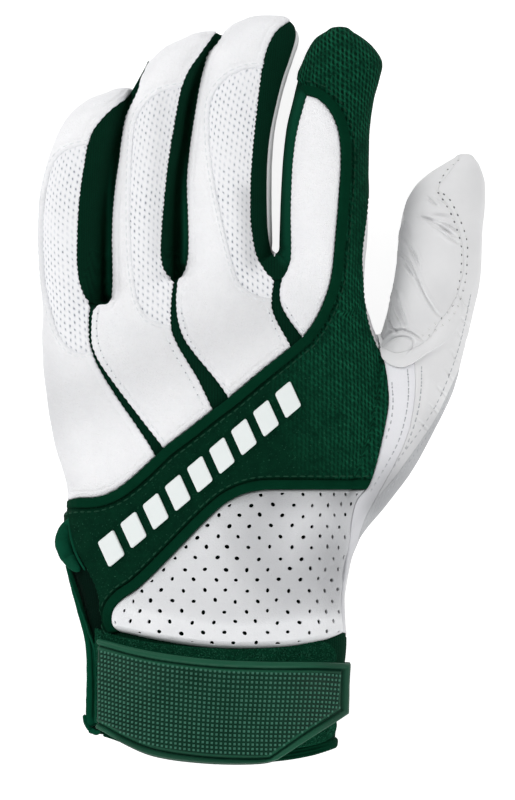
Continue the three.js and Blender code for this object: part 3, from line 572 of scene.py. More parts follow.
def bumps(points, size, seed=1, octaves=2):
    """Smooth noise of about -1 to 1 with swells of the given size in mm."""
    total = np.zeros(len(points))
    for octave in range(octaves):
        p = points / size * 2**octave + 100 + seed * 17.3
        cell = np.floor(p).astype(np.int64)
        f = p - cell
        f = f * f * (3 - 2 * f)
        value = np.zeros(len(points))
        for corner in np.ndindex(2, 2, 2):
            share = np.prod(np.where(corner, f, 1 - f), axis=1)
            value += share * lattice(cell + corner, seed + octave)
        total += value / 2**octave
    return total


# The hand form


def round_arc(across, fall):
    """The way round a digit from its middle line, from how far aside and how far down a point lies."""
    return np.sign(across) * (np.abs(across) ** ARC_POWER + fall**ARC_POWER) ** (1 / ARC_POWER)


def tube_faces(rings, sides):
    """Triangles of a tube of rings; the two points after the rings close its ends."""
    j = np.arange(sides)
    k = (j + 1) % sides
    faces = [np.column_stack([np.full(sides, rings * sides), k, j])]
    for i in range(rings - 1):
        a, b = i * sides, (i + 1) * sides
        faces += [np.column_stack([a + j, a + k, b + k]), np.column_stack([a + j, b + k, b + j])]
    top = (rings - 1) * sides
    return np.vstack([*faces, np.column_stack([np.full(sides, rings * sides + 1), top + j, top + k])])


class Loft:
    """A hand part as superellipse rings whose edges follow the photograph."""

    def __init__(self, rows, shares, height, power, tip=None, seam=0.0):
        rows, shares = np.array(rows, float), np.array(shares, float)
        y = y_at(rows[:, 0])
        left, right = x_at(rows[:, 1]), x_at(rows[:, 2])
        fine = np.linspace(y[0], y[-1], int((y[-1] - y[0]) / 1.0) + 1)
        low, high = spline(y, left, fine), spline(y, right, fine)
        self.power = power
        self.y, self.x, self.wide = fine, (low + high) / 2, (high - low) / 2
        self.z = spline(y, shares[:, 0] * height, fine)
        self.tall = spline(y, shares[:, 1] * height, fine)
        self.seam = np.interp(fine, y, np.broadcast_to(seam, y.shape))
        self.tip = None
        if tip:
            tip_x, tip_y = places([tip])[0]
            turn = np.linspace(0, np.pi / 2, 8)[1:-1]
            grow = lambda v, end: np.concatenate([v, v[-1] + (end - v[-1]) * np.sin(turn)])
            shrink = lambda v: np.concatenate([v, v[-1] * np.cos(turn)])
            self.tip = np.array([tip_x, tip_y, self.z[-1]])
            self.x, self.y = grow(self.x, tip_x), grow(self.y, tip_y)
            self.z, self.seam = grow(self.z, self.z[-1]), grow(self.seam, self.seam[-1])
            self.wide, self.tall = shrink(self.wide), shrink(self.tall)

    def arc(self, points):
        """How far round the digit each point lies, from its middle line."""
        x, _, z, tall, _ = self.row(points[:, 1])
        return round_arc(points[:, 0] - x, np.maximum(z + tall - points[:, 2], 0))

    def row(self, y):
        return [np.interp(y, self.y, v) for v in (self.x, self.wide, self.z, self.tall, self.seam)]

    def point(self, y, angle):
        x, wide, z, tall, _ = self.row(y)
        bend = lambda v: np.sign(v) * np.abs(v) ** (2 / self.power)
        level = np.maximum(z + tall * bend(np.sin(angle)), 0)
        return np.stack([x + wide * bend(np.cos(angle)), y + 0 * angle, level], -1)

    def lifted(self, y, angle, offset):
        """A point of the surface moved out along the normal."""
        e = 1e-3
        along = self.point(y + e * 100, angle) - self.point(y - e * 100, angle)
        around = self.point(y, angle + e) - self.point(y, angle - e)
        normal = np.cross(around, along)
        normal /= np.maximum(np.linalg.norm(normal, axis=-1, keepdims=True), 1e-12)
        return self.point(y, angle) - normal * np.asarray(offset)[..., None], -normal

    def mesh(self, sides):
        angle = np.linspace(0, 2 * np.pi, sides, endpoint=False)
        rings = self.point(self.y[:, None], angle[None, :])
        end = self.tip if self.tip is not None else rings[-1].mean(0)
        points = np.vstack([rings.reshape(-1, 3), rings[0].mean(0), end])
        return points, tube_faces(len(self.y), sides)

    def radius(self, points):
        """1 on the surface, less inside, more outside; far off beyond its ends."""
        x, wide, z, tall, _ = self.row(points[:, 1])
        across = np.abs(points[:, 0] - x) / wide
        up = np.abs(points[:, 2] - z) / tall
        r = (across**self.power + up**self.power) ** (1 / self.power)
        off = (points[:, 1] < self.y[0]) | (points[:, 1] > self.y[-1] + 0.8)
        return np.where(off, 9.0, r)


def new_mesh(name, points, faces):
    mesh = bpy.data.meshes.new(name)
    mesh.vertices.add(len(points))
    mesh.vertices.foreach_set("co", np.asarray(points, np.float32).ravel())
    mesh.loops.add(faces.size)
    mesh.loops.foreach_set("vertex_index", np.asarray(faces, np.int32).ravel())
    mesh.polygons.add(len(faces))
    mesh.polygons.foreach_set("loop_start", np.arange(0, faces.size, faces.shape[1], dtype=np.int32))
    mesh.update(calc_edges=True)
    return mesh


def new_object(name, mesh):
    obj = bpy.data.objects.new(name, mesh)
    bpy.context.scene.collection.objects.link(obj)
    return obj


def drop(obj):
    data = obj.data
    bpy.data.objects.remove(obj)
    if data.users == 0 and isinstance(data, bpy.types.Mesh):
        bpy.data.meshes.remove(data)


def evaluated(obj):
    """The object's mesh with its modifiers worked in, as points and faces."""
    copy = obj.evaluated_get(bpy.context.evaluated_depsgraph_get()).to_mesh()
    points = np.empty(len(copy.vertices) * 3, np.float32)
    copy.vertices.foreach_get("co", points)
    corners = np.empty(len(copy.loops), np.int32)
    copy.loops.foreach_get("vertex_index", corners)
    sizes = np.empty(len(copy.polygons), np.int32)
    copy.polygons.foreach_get("loop_total", sizes)
    return points.reshape(-1, 3).astype(float), corners, sizes


def prism(ring, low, high):
    """A closed upright block over an outline."""
    n = len(ring)
    points = np.vstack(
        [np.column_stack([ring, np.full(n, low)]), np.column_stack([ring, np.full(n, high)])]
    )
    mesh = bpy.data.meshes.new("block")
    sides = [(i, (i + 1) % n, n + (i + 1) % n, n + i) for i in range(n)]
    mesh.from_pydata(points.tolist(), [], [list(range(n))[::-1], list(range(n, 2 * n)), *sides])
    return mesh


def digit(rows, shares, tip, height=FINGER_HEIGHT, seam=FINGER_SEAM_SHARE):
    return Loft(rows, shares, height, FINGER_POWER, TIPS_PX[tip], seam)


palm = Loft(PALM_PX, PALM_SHARES, PALM_HEIGHT, PALM_POWER, seam=PALM_SEAM_SHARES)
pinky = digit(PINKY_PX, PINKY_SHARES, "pinky")
ring_finger = digit(RING_PX, RING_SHARES, "ring")
middle = digit(MIDDLE_PX, MIDDLE_SHARES, "middle")
index = digit(INDEX_PX, INDEX_SHARES, "index")
thumb = digit(THUMB_PX, THUMB_SHARES, "thumb", THUMB_HEIGHT, THUMB_SEAM_SHARE)
lofts = [palm, pinky, ring_finger, middle, index, thumb]


def eased(points, faces):
    """Smooths away the step where the fingers leave the hand, but not the valleys between them."""
    away = off_line(points, line(PALM_FRONT_PX))
    share = np.clip(1.4 - away / EASE_REACH, 0, 1)
    for ring in valley_rings():
        share *= np.clip(-inside(points[:, :2], ring) / 1.5 - 0.2, 0, 1)
    share *= points[:, 2] > EASE_ABOVE
    smooth = soften(points, faces, EASE_ROUNDS, 0.5)
    return points + (smooth - points) * share[:, None]


def valley_rings():
    return [
        outline(PINKY_RIGHT_PX, (RING_LEFT_PX, -1)), outline(RING_RIGHT_PX, (MIDDLE_LEFT_PX, -1)),
        outline(MIDDLE_RIGHT_PX, (INDEX_LEFT_PX, -1), INDEX_TIP_PX, MIDDLE_INDEX_GAP_PX, [294, 0]),
    ]


def web_block(way, sides, half, rise, tilt):
    """A wall joining two fingers' facing sides under their seams; its top leans up towards the right one."""
    level = np.min([side.row(way[:, 1])[2] for side in sides], axis=0) + rise
    step = np.gradient(way, axis=0)
    step /= np.linalg.norm(step, axis=1, keepdims=True)
    aside = np.column_stack([-step[:, 1], step[:, 0]]) * half
    rings = np.stack([
        np.column_stack([way + aside, level + tilt]), np.column_stack([way - aside, level]),
        np.column_stack([way - aside, level - WEB_DEPTH]),
        np.column_stack([way + aside, level - WEB_DEPTH]),
    ], 1)
    faces = [[3, 2, 1, 0], [4 * len(way) - 4 + k for k in range(4)]]
    for i in range(len(way) - 1):
        for k in range(4):
            n = (k + 1) % 4
            faces.append([4 * i + k, 4 * i + n, 4 * i + 4 + n, 4 * i + 4 + k])
    return rings.reshape(-1, 3).tolist(), faces


def hand_form():
    """The filled glove as one closed surface: the palm cut to its front edge and joined with the fingers."""
    points, faces = palm.mesh(PALM_SIDES)
    body = new_object("palm_blank", new_mesh("palm_blank", points, faces))
    front = places(PALM_FRONT_PX)
    if np.cross(front, np.roll(front, -1, 0)).sum() < 0:
        front = front[::-1]
    cutter = new_object("palm_front", prism(front, -20.0, 80.0))
    cut = body.modifiers.new("front", "BOOLEAN")
    cut.operation, cut.object, cut.solver = "INTERSECT", cutter, "MANIFOLD"
    base, corners, sizes = evaluated(body)
    mesh = bpy.data.meshes.new("form")
    starts = np.concatenate([[0], np.cumsum(sizes)])
    polygons = [corners[a:b].tolist() for a, b in zip(starts[:-1], starts[1:])]
    shapes = [(base.tolist(), polygons)]
    for loft in lofts[1:]:
        p, f = loft.mesh(DIGIT_SIDES)
        shapes.append((p.tolist(), f.tolist()))
    shapes.append(web_block(line(PINKY_RING_WEB_PX, 3.0), (pinky, ring_finger), 1.5, 0.3, 3.0))
    shapes.append(web_block(line(RING_MIDDLE_WEB_PX, 3.0), (ring_finger, middle), 2.2, 1.2, 1.6))
    all_points, all_faces = [], []
    for p, f in shapes:
        shift = len(all_points)
        all_points += p
        all_faces += [[v + shift for v in face] for face in f]
    mesh.from_pydata(all_points, [], all_faces)
    form = new_object("form", mesh)
    remesh = form.modifiers.new("remesh", "REMESH")
    remesh.mode, remesh.voxel_size = "VOXEL", VOXEL
    points, corners, sizes = evaluated(form)
    quads = corners.reshape(-1, 4)
    for obj in (body, cutter, form):
        drop(obj)
    faces = np.vstack([quads[:, [0, 1, 2]], quads[:, [0, 2, 3]]])
    points = taubin(points, faces, FORM_ROUNDS)
    points[:, 2] = np.maximum(points[:, 2], 0.02)
    return points, faces


points, faces = hand_form()
own = np.argmin([loft.radius(points) for loft in lofts], 0)
level = np.zeros(len(points))
centre = np.zeros(len(points))
drop_z = np.zeros(len(points))
for k, loft in enumerate(lofts):
    mine = own == k
    x, wide, z, tall, seam = loft.row(points[mine, 1])
    level[mine] = z + tall * seam
    centre[mine] = x
    drop_z[mine] = np.maximum(z + tall - points[mine, 2], 0)
level = soften(level, faces, LEVEL_ROUNDS)
across = points[:, 0] - centre
around = soften(centre + round_arc(across, drop_z), faces, AROUND_ROUNDS)
points = eased(points, faces)
form = Patch(points, faces, {"level": level, "around": around, "normal": normals_of(points, faces)})

# Where the back of the hand ends and the palm side begins
index_strip = outline(INDEX_EDGE_PX, [379, 346], [378, 300], [385, 200], [384, 180])
middle_strip = outline(
    MIDDLE_EDGE_PX, [[276, 262], [275, 240], [275, 200], [277, 150], [285, 100], [297, 60], [303, 26]],
)
above_hem = outline(HEM_PX, [560, -60], [0, -60])
flat = form.points[:, :2]
up = form.points[:, 2] - form.values["level"]
for valley in valley_rings():
    up += VALLEY_REACH * np.clip(inside(flat, valley) / 1.5 + 0.3, 0, 1)
slit_ring = outline([0, 515], [72, 515], [94, 545], [114, 590], [118, 636], [118, 738], [0, 738])
up += SLIT_REACH * np.clip(inside(flat, slit_ring) / 3.0, 0, 1)
form.values["top"] = np.minimum.reduce([up, -inside(flat, index_strip), -inside(flat, middle_strip)])
form.values["hem"] = inside(flat, above_hem)


def region(*rings, holes=(), side=1, hem=0.0):
    """How deep each vertex lies inside a piece; side 1 is the back of the hand, -1 the palm."""

    def depth(patch):
        p = patch.points[:, :2]
        terms = [inside(p, ring) for ring in rings] + [-inside(p, hole) for hole in holes]
        terms += [patch.values["hem"] - hem, side * patch.values["top"]]
        return np.minimum.reduce(terms)

    return depth


# Materials


def colour(code):
    """A colour written as a web code, in the renderer's own linear values."""
    parts = [int(code[i : i + 2], 16) / 255 for i in (1, 3, 5)]
    return (*[c / 12.92 if c <= 0.04045 else ((c + 0.055) / 1.055) ** 2.4 for c in parts], 1.0)


def put(tree, kind, inputs=None, **settings):
    """Adds a node; an input is a value or another node's output."""
    node = tree.nodes.new(kind)
    for key, value in settings.items():
        setattr(node, key, value)
    for key, value in (inputs or {}).items():
        if isinstance(value, bpy.types.NodeSocket):
            tree.links.new(value, node.inputs[key])
        else:
            node.inputs[key].default_value = value
    return node


def maths(operation):
    """A function that adds a maths node to the tree of the first socket it is given."""

    def add(a, b=0.0, c=0.0, clamp=False):
        tree = next(value.id_data for value in (a, b, c) if isinstance(value, bpy.types.NodeSocket))
        return put(
            tree, "ShaderNodeMath", {0: a, 1: b, 2: c}, operation=operation, use_clamp=clamp,
        ).outputs[0]

    return add


plus, minus, times, divided, times_plus = map(
    maths, ("ADD", "SUBTRACT", "MULTIPLY", "DIVIDE", "MULTIPLY_ADD"),
)
sine, cosine, floored, fraction, pingpong = map(maths, ("SINE", "COSINE", "FLOOR", "FRACT", "PINGPONG"))
raised, root, absolute, larger, smooth_least = map(
    maths, ("POWER", "SQRT", "ABSOLUTE", "MAXIMUM", "SMOOTH_MIN"),
)


def mixed(share, a, b):
    return put(share.id_data, "ShaderNodeMix", {0: share, 6: a, 7: b}, data_type="RGBA").outputs[2]


def noise_at(place, scale, detail, roughness=0.5, output="Fac"):
    inputs = {"Vector": place, "Scale": scale, "Detail": detail, "Roughness": roughness}
    return put(place.id_data, "ShaderNodeTexNoise", inputs).outputs[output]


def attribute(tree, name):
    return put(tree, "ShaderNodeAttribute", attribute_name=name).outputs["Fac"]


def measured(tree):
    """The surface's own measure in mm: U round the hand, V along it."""
    return put(tree, "ShaderNodeUVMap", uv_map="measure").outputs[0]


def shader_group(name, inputs, outputs):
    tree = bpy.data.node_groups.new(name, "ShaderNodeTree")
    for label, kind, value in inputs:
        socket = tree.interface.new_socket(label, in_out="INPUT", socket_type=kind)
        if value is not None:
            socket.default_value = value
    for label, kind in outputs:
        tree.interface.new_socket(label, in_out="OUTPUT", socket_type=kind)
    return tree, tree.nodes.new("NodeGroupInput").outputs, tree.nodes.new("NodeGroupOutput").inputs


def leather_grain():
    """Pebbles of leather with fine creases between them."""
    tree, given, out = shader_group(
        "leather grain",
        [
            ("Place", "NodeSocketVector", None), ("Pebble size", "NodeSocketFloat", 0.0009),
            ("Softness", "NodeSocketFloat", 0.5),
        ],
        [("Height", "NodeSocketFloat"), ("Tone", "NodeSocketFloat")],
    )
    scale = divided(1.0, given["Pebble size"])
    warp = noise_at(given["Place"], 420.0, 2.0, output="Color")
    shift = put(tree, "ShaderNodeVectorMath", {0: warp, "Scale": 0.0007}, operation="SCALE")
    place = put(
        tree, "ShaderNodeVectorMath", {0: given["Place"], 1: shift.outputs[0]}, operation="ADD",
    ).outputs[0]
    cells = put(tree, "ShaderNodeTexVoronoi", {"Vector": place, "Scale": scale}, feature="DISTANCE_TO_EDGE")
    ridge = smooth_least(cells.outputs["Distance"], 0.32, given["Softness"])
    big = noise_at(given["Place"], 160.0, 3.0, 0.6)
    height = times_plus(big, 0.5, ridge)
    tree.links.new(height, out["Height"])
    tone = noise_at(given["Place"], 45.0, 4.0, 0.65)
    tree.links.new(tone, out["Tone"])
    return tree


def staggered(measure, column, row, scale, sway_u, sway_v):
    """A place's share across and along its cell; every other column of the grid is half a step down."""
    parts = put(measure.id_data, "ShaderNodeSeparateXYZ", {0: measure}).outputs
    sway = noise_at(measure, scale, 2.0)
    u = times_plus(sway, sway_u, divided(parts[0], column))
    v = times_plus(sway, sway_v, divided(parts[1], row))
    odd = times(pingpong(floored(u), 1.0), 0.5)
    return fraction(u), fraction(plus(v, odd))


def knit_loops():
    """Rows of small knitted loops in the surface's own measure: U round the hand, V along it, in mm."""
    tree, given, out = shader_group(
        "knit loops",
        [
            ("Measure", "NodeSocketVector", None), ("Column", "NodeSocketFloat", 1.4),
            ("Row", "NodeSocketFloat", 1.0),
        ],
        [("Height", "NodeSocketFloat")],
    )
    u, v = staggered(given["Measure"], given["Column"], given["Row"], 0.8, 0.45, 0.6)
    loop = sine(times(v, math.pi))
    height = times(sine(times(u, math.pi)), times_plus(loop, 0.55, 0.45))
    tree.links.new(height, out["Height"])
    return tree


def fibre_fuzz():
    """Fine short fibres and specks."""
    tree, given, out = shader_group(
        "fibre fuzz",
        [("Place", "NodeSocketVector", None), ("Fineness", "NodeSocketFloat", 2200.0)],
        [("Height", "NodeSocketFloat"), ("Specks", "NodeSocketFloat")],
    )
    fine = noise_at(given["Place"], given["Fineness"], 3.0, 0.7)
    tree.links.new(fine, out["Height"])
    speck = noise_at(given["Place"], given["Fineness"], 1.0)
    high = times(minus(speck, 0.66), 6.0, clamp=True)
    tree.links.new(high, out["Specks"])
    return tree


def rim_scuff_and_shade():
    """A mask that is 1 at a piece's rim and falls off inwards, broken up by noise: scuffs, and painted shade
    in the grooves of seams.
    """
    tree, given, out = shader_group(
        "edge wear",
        [
            ("Depth", "NodeSocketFloat", 9.0), ("Reach", "NodeSocketFloat", 1.0),
            ("Place", "NodeSocketVector", None),
        ],
        [("Mask", "NodeSocketFloat")],
    )
    noise = noise_at(given["Place"], 700.0, 3.0)
    near = minus(1.0, divided(given["Depth"], given["Reach"]), clamp=True)
    tree.links.new(times(near, times_plus(noise, 0.8, 0.5), clamp=True), out["Mask"])
    return tree


GRAIN, KNIT, FUZZ, RIM_SCUFF_AND_SHADE = leather_grain(), knit_loops(), fibre_fuzz(), rim_scuff_and_shade()


def start_material(name, roughness, specular, sheen=0.0):
    """A material with its tree, its shader and the Object coordinates at hand."""
    material = bpy.data.materials.new(name)
    material.use_nodes = True
    tree = material.node_tree
    shader = tree.nodes["Principled BSDF"]
    shader.inputs["Roughness"].default_value = roughness
    shader.inputs["Specular IOR Level"].default_value = specular
    shader.inputs["Sheen Weight"].default_value = sheen
    shader.inputs["Sheen Roughness"].default_value = 0.5
    place = tree.nodes.new("ShaderNodeTexCoord").outputs["Object"]
    return material, tree, shader, place


def group_node(tree, group, inputs):
    return put(tree, "ShaderNodeGroup", inputs, node_tree=group).outputs


def bump(tree, shader, height, distance, below=None):
    inputs = {"Height": height, "Distance": distance, "Strength": 1.0}
    if below:
        inputs["Normal"] = below
    node = put(tree, "ShaderNodeBump", inputs)
    tree.links.new(node.outputs[0], shader.inputs["Normal"])
    return node.outputs[0]


def leather(name, base, dark, pebble=0.0009, grain=0.00011, roughness=0.5, scuff_and_shade=0.4):
    material, tree, shader, place = start_material(name, roughness, 0.35)
    depth = attribute(tree, "depth")
    look = group_node(tree, GRAIN, {"Place": place, "Pebble size": pebble})
    # Painted shade and scuffs: the leather darkens at its rims and in the grooves of its seams
    scuffed_and_shaded = group_node(tree, RIM_SCUFF_AND_SHADE, {"Depth": depth, "Reach": 0.9, "Place": place})["Mask"]
    tone = times(minus(look["Tone"], 0.42), 1.6, clamp=True)
    face = mixed(times(tone, 0.35), colour(base), colour(dark))
    valley = minus(0.22, look["Height"], clamp=True)
    face = mixed(valley, face, colour(dark))
    face = mixed(times(scuffed_and_shaded, scuff_and_shade), face, colour(dark))
    face = mixed(times(attribute(tree, "shade"), 1.0, clamp=True), face, colour(SHADE))
    tree.links.new(face, shader.inputs["Base Color"])
    rough = times_plus(look["Tone"], 0.25, roughness - 0.12)
    tree.links.new(rough, shader.inputs["Roughness"])
    bump(tree, shader, look["Height"], grain)
    return material


LIT_KNIT = "#145a42"


def fabric(name, base, light, column, row, relief, fuzz, hole):
    """A dark knit: columns of loops, dark between them, with lighter fibres on top."""
    material, tree, shader, place = start_material(name, 0.9, 0.04)
    measure = measured(tree)
    loops = group_node(tree, KNIT, {"Measure": measure, "Column": column, "Row": row})
    fine = group_node(tree, FUZZ, {"Place": place})
    cloud = noise_at(place, 190.0, 4.0)
    face = mixed(times(loops["Height"], 0.8), colour(hole), colour(base))
    face = mixed(times(cloud, 0.3), face, colour(light))
    face = mixed(times(fine["Specks"], fuzz), face, colour(light))
    # Painted light: the knit goes over to a lighter green where the "shade" attribute is set
    face = mixed(attribute(tree, "shade"), face, colour(LIT_KNIT))
    tree.links.new(face, shader.inputs["Base Color"])
    below = bump(tree, shader, loops["Height"], relief)
    bump(tree, shader, fine["Height"], relief * 0.4, below=below)
    return material


def spacer_mesh(name, base, light, dark):
    """The cover's knit: staggered lens-shaped holes between ribs, closing to a plain face in the low band."""
    material, tree, shader, place = start_material(name, 0.85, 0.04)
    measure = measured(tree)
    parts = put(tree, "ShaderNodeSeparateXYZ", {0: place}).outputs
    slope = times_plus(parts[1], 0.35, parts[0])
    opened = divided(minus(slope, OPEN_FROM * MM), OPEN_OVER * MM, clamp=True)
    tip = divided(minus(parts[1], TIP_FROM * MM), TIP_OVER * MM, clamp=True)
    du, dv = (minus(part, 0.5) for part in staggered(measure, SPACER_COLUMN, SPACER_ROW, 0.35, 0.6, 0.7))
    slant = times_plus(dv, 0.36, du)
    wide = times_plus(tip, 0.06, 0.22)
    reach = plus(raised(divided(absolute(slant), wide), 2.0), raised(divided(absolute(dv), 0.36), 2.0))
    hole = times(minus(1.25, reach), 1.6, clamp=True)
    opened = times(opened, minus(1.0, attribute(tree, "shade")))
    cloud = noise_at(place, 330.0, 5.0, 0.7)
    uneven = times(minus(cloud, 0.34), 3.4, clamp=True)
    strength = times(opened, times_plus(uneven, 0.55, 0.32))
    strength = times_plus(tip, 0.08, strength, clamp=True)
    rib = times_plus(cosine(times(slant, 2 * math.pi)), -0.5, 0.5)
    rib = times(raised(rib, 2.0), times(opened, times(uneven, 0.6)))
    hole = times(hole, strength)
    fine = group_node(tree, FUZZ, {"Place": place, "Fineness": 1900.0})
    low = mixed(opened, colour(PLAIN_LOW), colour(base))
    high = mixed(opened, colour(PLAIN_HIGH), colour(light))
    face = mixed(times(minus(cloud, 0.3), 1.1, clamp=True), low, high)
    face = mixed(rib, face, colour(RIB))
    face = mixed(hole, face, colour(dark))
    face = mixed(times(fine["Specks"], 0.45), face, colour(SPECK))
    tree.links.new(face, shader.inputs["Base Color"])
    height = minus(times_plus(cloud, 0.25, rib), hole)
    below = bump(tree, shader, height, 0.0003)
    bump(tree, shader, fine["Height"], 0.00012, below=below)
    return material


def felt(name, base, light, roughness=0.95, relief=0.0001, fuzz=0.5, fineness=2200.0):
    """A brushed fabric without visible loops."""
    material, tree, shader, place = start_material(name, roughness, 0.04)
    fine = group_node(tree, FUZZ, {"Place": place, "Fineness": fineness})
    cloud = noise_at(place, 260.0, 4.0)
    face = mixed(times(cloud, 0.6), colour(base), colour(light))
    face = mixed(times(fine["Specks"], fuzz), face, colour(light))
    tree.links.new(face, shader.inputs["Base Color"])
    bump(tree, shader, fine["Height"], relief)
    return material


def open_mesh(name, base, dark, strength):
    """A white net: staggered rows of small holes with ribs between the columns."""
    material, tree, shader, place = start_material(name, 0.7, 0.3, 0.05)
    measure = measured(tree)
    over, along = (minus(part, 0.5) for part in staggered(measure, NET_COLUMN, NET_ROW, 0.5, 0.5, 0.4))
    over = times_plus(along, 0.35, over)
    du = times(over, NET_COLUMN / 0.2)
    dv = times(along, NET_ROW / 0.36)
    reach = root(plus(raised(absolute(du), 2.0), raised(absolute(dv), 2.0)))
    hole = minus(1.35, reach, clamp=True)
    rib = cosine(times(over, 2 * math.pi))
    fine = group_node(tree, FUZZ, {"Place": place, "Fineness": 1800.0})
    tone = noise_at(place, 260.0, 3.0)
    face = mixed(times(tone, 0.25), colour(base), colour("#dfe2e8"))
    area = noise_at(place, 45.0, 2.0)
    uneven = times(minus(plus(tone, area), 0.74), 2.4, clamp=True)
    halo = times(minus(2.6, reach, clamp=True), times(area, 0.5 * strength))
    face = mixed(halo, face, colour("#bcc2cf"))
    face = mixed(times(hole, times(uneven, strength), clamp=True), face, colour(dark))
    face = mixed(attribute(tree, "shade"), face, colour(SHADE))
    tree.links.new(face, shader.inputs["Base Color"])
    height = minus(times(rib, 0.3), times(hole, 0.8))
    below = bump(tree, shader, height, 0.00014)
    bump(tree, shader, fine["Height"], 0.00005, below=below)
    return material


def rubber(name, base, light, roughness=0.45, field=None):
    """Smooth plastic or thread; with a field colour, the strap's face: a light frame about a dark field."""
    material, tree, shader, place = start_material(name, roughness, 0.15 if field else 0.2)
    cloud = noise_at(place, 120.0, 5.0)
    fine = group_node(tree, FUZZ, {"Place": place, "Fineness": 900.0})
    face = colour(base)
    if field:
        depth = attribute(tree, "depth")
        inner = times(minus(depth, 1.3), 3.0, clamp=True)
        groove = minus(1.3, times(absolute(minus(depth, 0.3)), 2.6), clamp=True)
        face = mixed(larger(inner, groove), face, colour(field))
    face = mixed(times(cloud, 0.3 if field else 0.4), face, colour(light))
    if field:
        face = mixed(attribute(tree, "shade"), face, colour(field))
    tree.links.new(face, shader.inputs["Base Color"])
    tree.links.new(times_plus(cloud, 0.2, roughness - 0.1), shader.inputs["Roughness"])
    bump(tree, shader, fine["Height"], 0.00003)
    return material


SHADE = "#9c9da0"
OPEN_FROM, OPEN_OVER = 0.0, 30.0
TIP_FROM, TIP_OVER = 55.0, 30.0
SPACER_COLUMN, SPACER_ROW = 1.4, 1.85
NET_COLUMN, NET_ROW = 1.58, 2.2
RIB, SPECK, PLAIN_LOW, PLAIN_HIGH = "#1b6a4c", "#3f7a5f", "#012417", "#073a25"
WHITE_LEATHER = leather("white_leather", "#fdfdff", "#d8dbe1", grain=0.0004)
SIDE_LEATHER = leather("side_leather", "#eeeef2", "#cdced3", scuff_and_shade=0.15)
GREY_LEATHER = leather(
    "grey_leather", "#e9e9ea", "#c6c6c8", pebble=0.0007, grain=0.00004, scuff_and_shade=0.08,
)
VENT_LEATHER = leather("vent_leather", "#f6f7f9", "#d0d2d8", pebble=0.0008, grain=0.0002, scuff_and_shade=0.2)
WHITE_MESH = open_mesh("white_mesh", "#fdfdff", "#5f6571", strength=1.0)
SIDE_MESH = open_mesh("side_mesh", "#c9cacb", "#8d8f93", strength=0.6)
GREEN_KNIT = fabric(
    "green_knit", "#042c1d", "#0a3d29", column=0.9, row=0.7, relief=0.0001, fuzz=0.2, hole="#021c12",
)
CUFF_KNIT = fabric(
    "cuff_knit", "#073624", "#0f4630", column=1.1, row=0.9, relief=0.00015, fuzz=0.2, hole="#021c12",
)
SHADOW_KNIT = fabric(
    "shadow_knit", "#021a11", "#032318", column=1.1, row=0.9, relief=0.0001, fuzz=0.1, hole="#010d08",
)
GREEN_MESH = spacer_mesh("green_mesh", "#022c1d", "#125c40", "#00140b")
GREEN_BINDING = felt("green_binding", "#012a1a", "#053a26")
BAND_FELT = felt("band_felt", "#033a27", "#0b5038")
GREEN_RUBBER = rubber("green_rubber", "#194e38", "#2a6850", roughness=0.5, field="#052d1f")
GREEN_DOTS = rubber("green_dots", "#396f5b", "#4e8570")
GREEN_TAB = felt("green_tab", "#033826", "#0f5a42", roughness=0.7)
GREEN_PILE = felt("green_pile", "#03291a", "#14563c", fuzz=0.8, relief=0.0003, fineness=1500.0)
PILE_TIP = felt("pile_tip", "#135239", "#3c7a62")
WHITE_RUBBER = rubber("white_rubber", "#f2f7f6", "#e3ebe9", roughness=0.4)
GREY_THREAD = rubber("grey_thread", "#e9e9e8", "#d9d9d9", roughness=0.6)
SIDE_THREAD = rubber("side_thread", "#bcbdc0", "#aeafb2", roughness=0.6)
WHITE_THREAD = rubber("white_thread", "#f0f2f4", "#dfe2e6", roughness=0.6)
GREEN_THREAD = rubber("green_thread", "#0a3a27", "#124a34", roughness=0.8)
# Painted shade: grey and dark dishes stand for the shade inside needle holes
SOFT_HOLE_SHADE = felt("soft_hole", "#9fa2a8", "#adafb5", relief=0.00002)
NEEDLE_HOLE_SHADE = felt("needle_hole", "#6c6d70", "#808185", relief=0.00002)


# Pieces that follow the hand form

# Each piece's outer skin, for stitches to land on
skins = {}


def settled(obj, body, nodes):
    """Puts a piece on the body it rides on and hides the solids it stands for."""
    if body:
        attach(obj, body)
    if nodes:
        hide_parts(*nodes)
    return obj


SHARP_ANGLE = 40


def finish_mesh(
    name, points, faces, material, nodes, slot, depth=None, measure=None, body="glove", shade=None,
):
    points = np.maximum(points, [-np.inf, -np.inf, 0.0])
    mesh = new_mesh(name, points * MM, faces)
    mesh.polygons.foreach_set("use_smooth", np.ones(len(faces), bool))
    if depth is not None:
        mesh.attributes.new("depth", "FLOAT", "POINT").data.foreach_set("value", depth.astype(np.float32))
    if shade is not None:
        tone = np.clip(shade(points[:, :2]), 0, 1).astype(np.float32)
        mesh.attributes.new("shade", "FLOAT", "POINT").data.foreach_set("value", tone)
    if measure is not None:
        layer = mesh.uv_layers.new(name="measure")
        layer.data.foreach_set("uv", measure[faces.ravel()].astype(np.float32).ravel())
    mesh.materials.append(material)
    mesh.set_sharp_from_angle(angle=math.radians(SHARP_ANGLE))
    obj = new_object(name, mesh)
    return settled(obj, body, nodes)


def thickened(outer, inner, faces):
    """Closes an open skin with an inner one and a wall round every free edge."""
    count = len(outer)
    pairs = np.vstack([faces[:, [0, 1]], faces[:, [1, 2]], faces[:, [2, 0]]])
    key = np.sort(pairs, 1)
    key = key[:, 0].astype(np.int64) * count + key[:, 1]
    _, first, uses = np.unique(key, return_index=True, return_counts=True)
    rim = pairs[first[uses == 1]]
    wall = np.vstack([
        np.column_stack([rim[:, 1], rim[:, 0], rim[:, 0] + count]),
        np.column_stack([rim[:, 1], rim[:, 0] + count, rim[:, 1] + count]),
    ])
    return np.vstack([outer, inner]), np.vstack([faces, faces[:, ::-1] + count, wall])


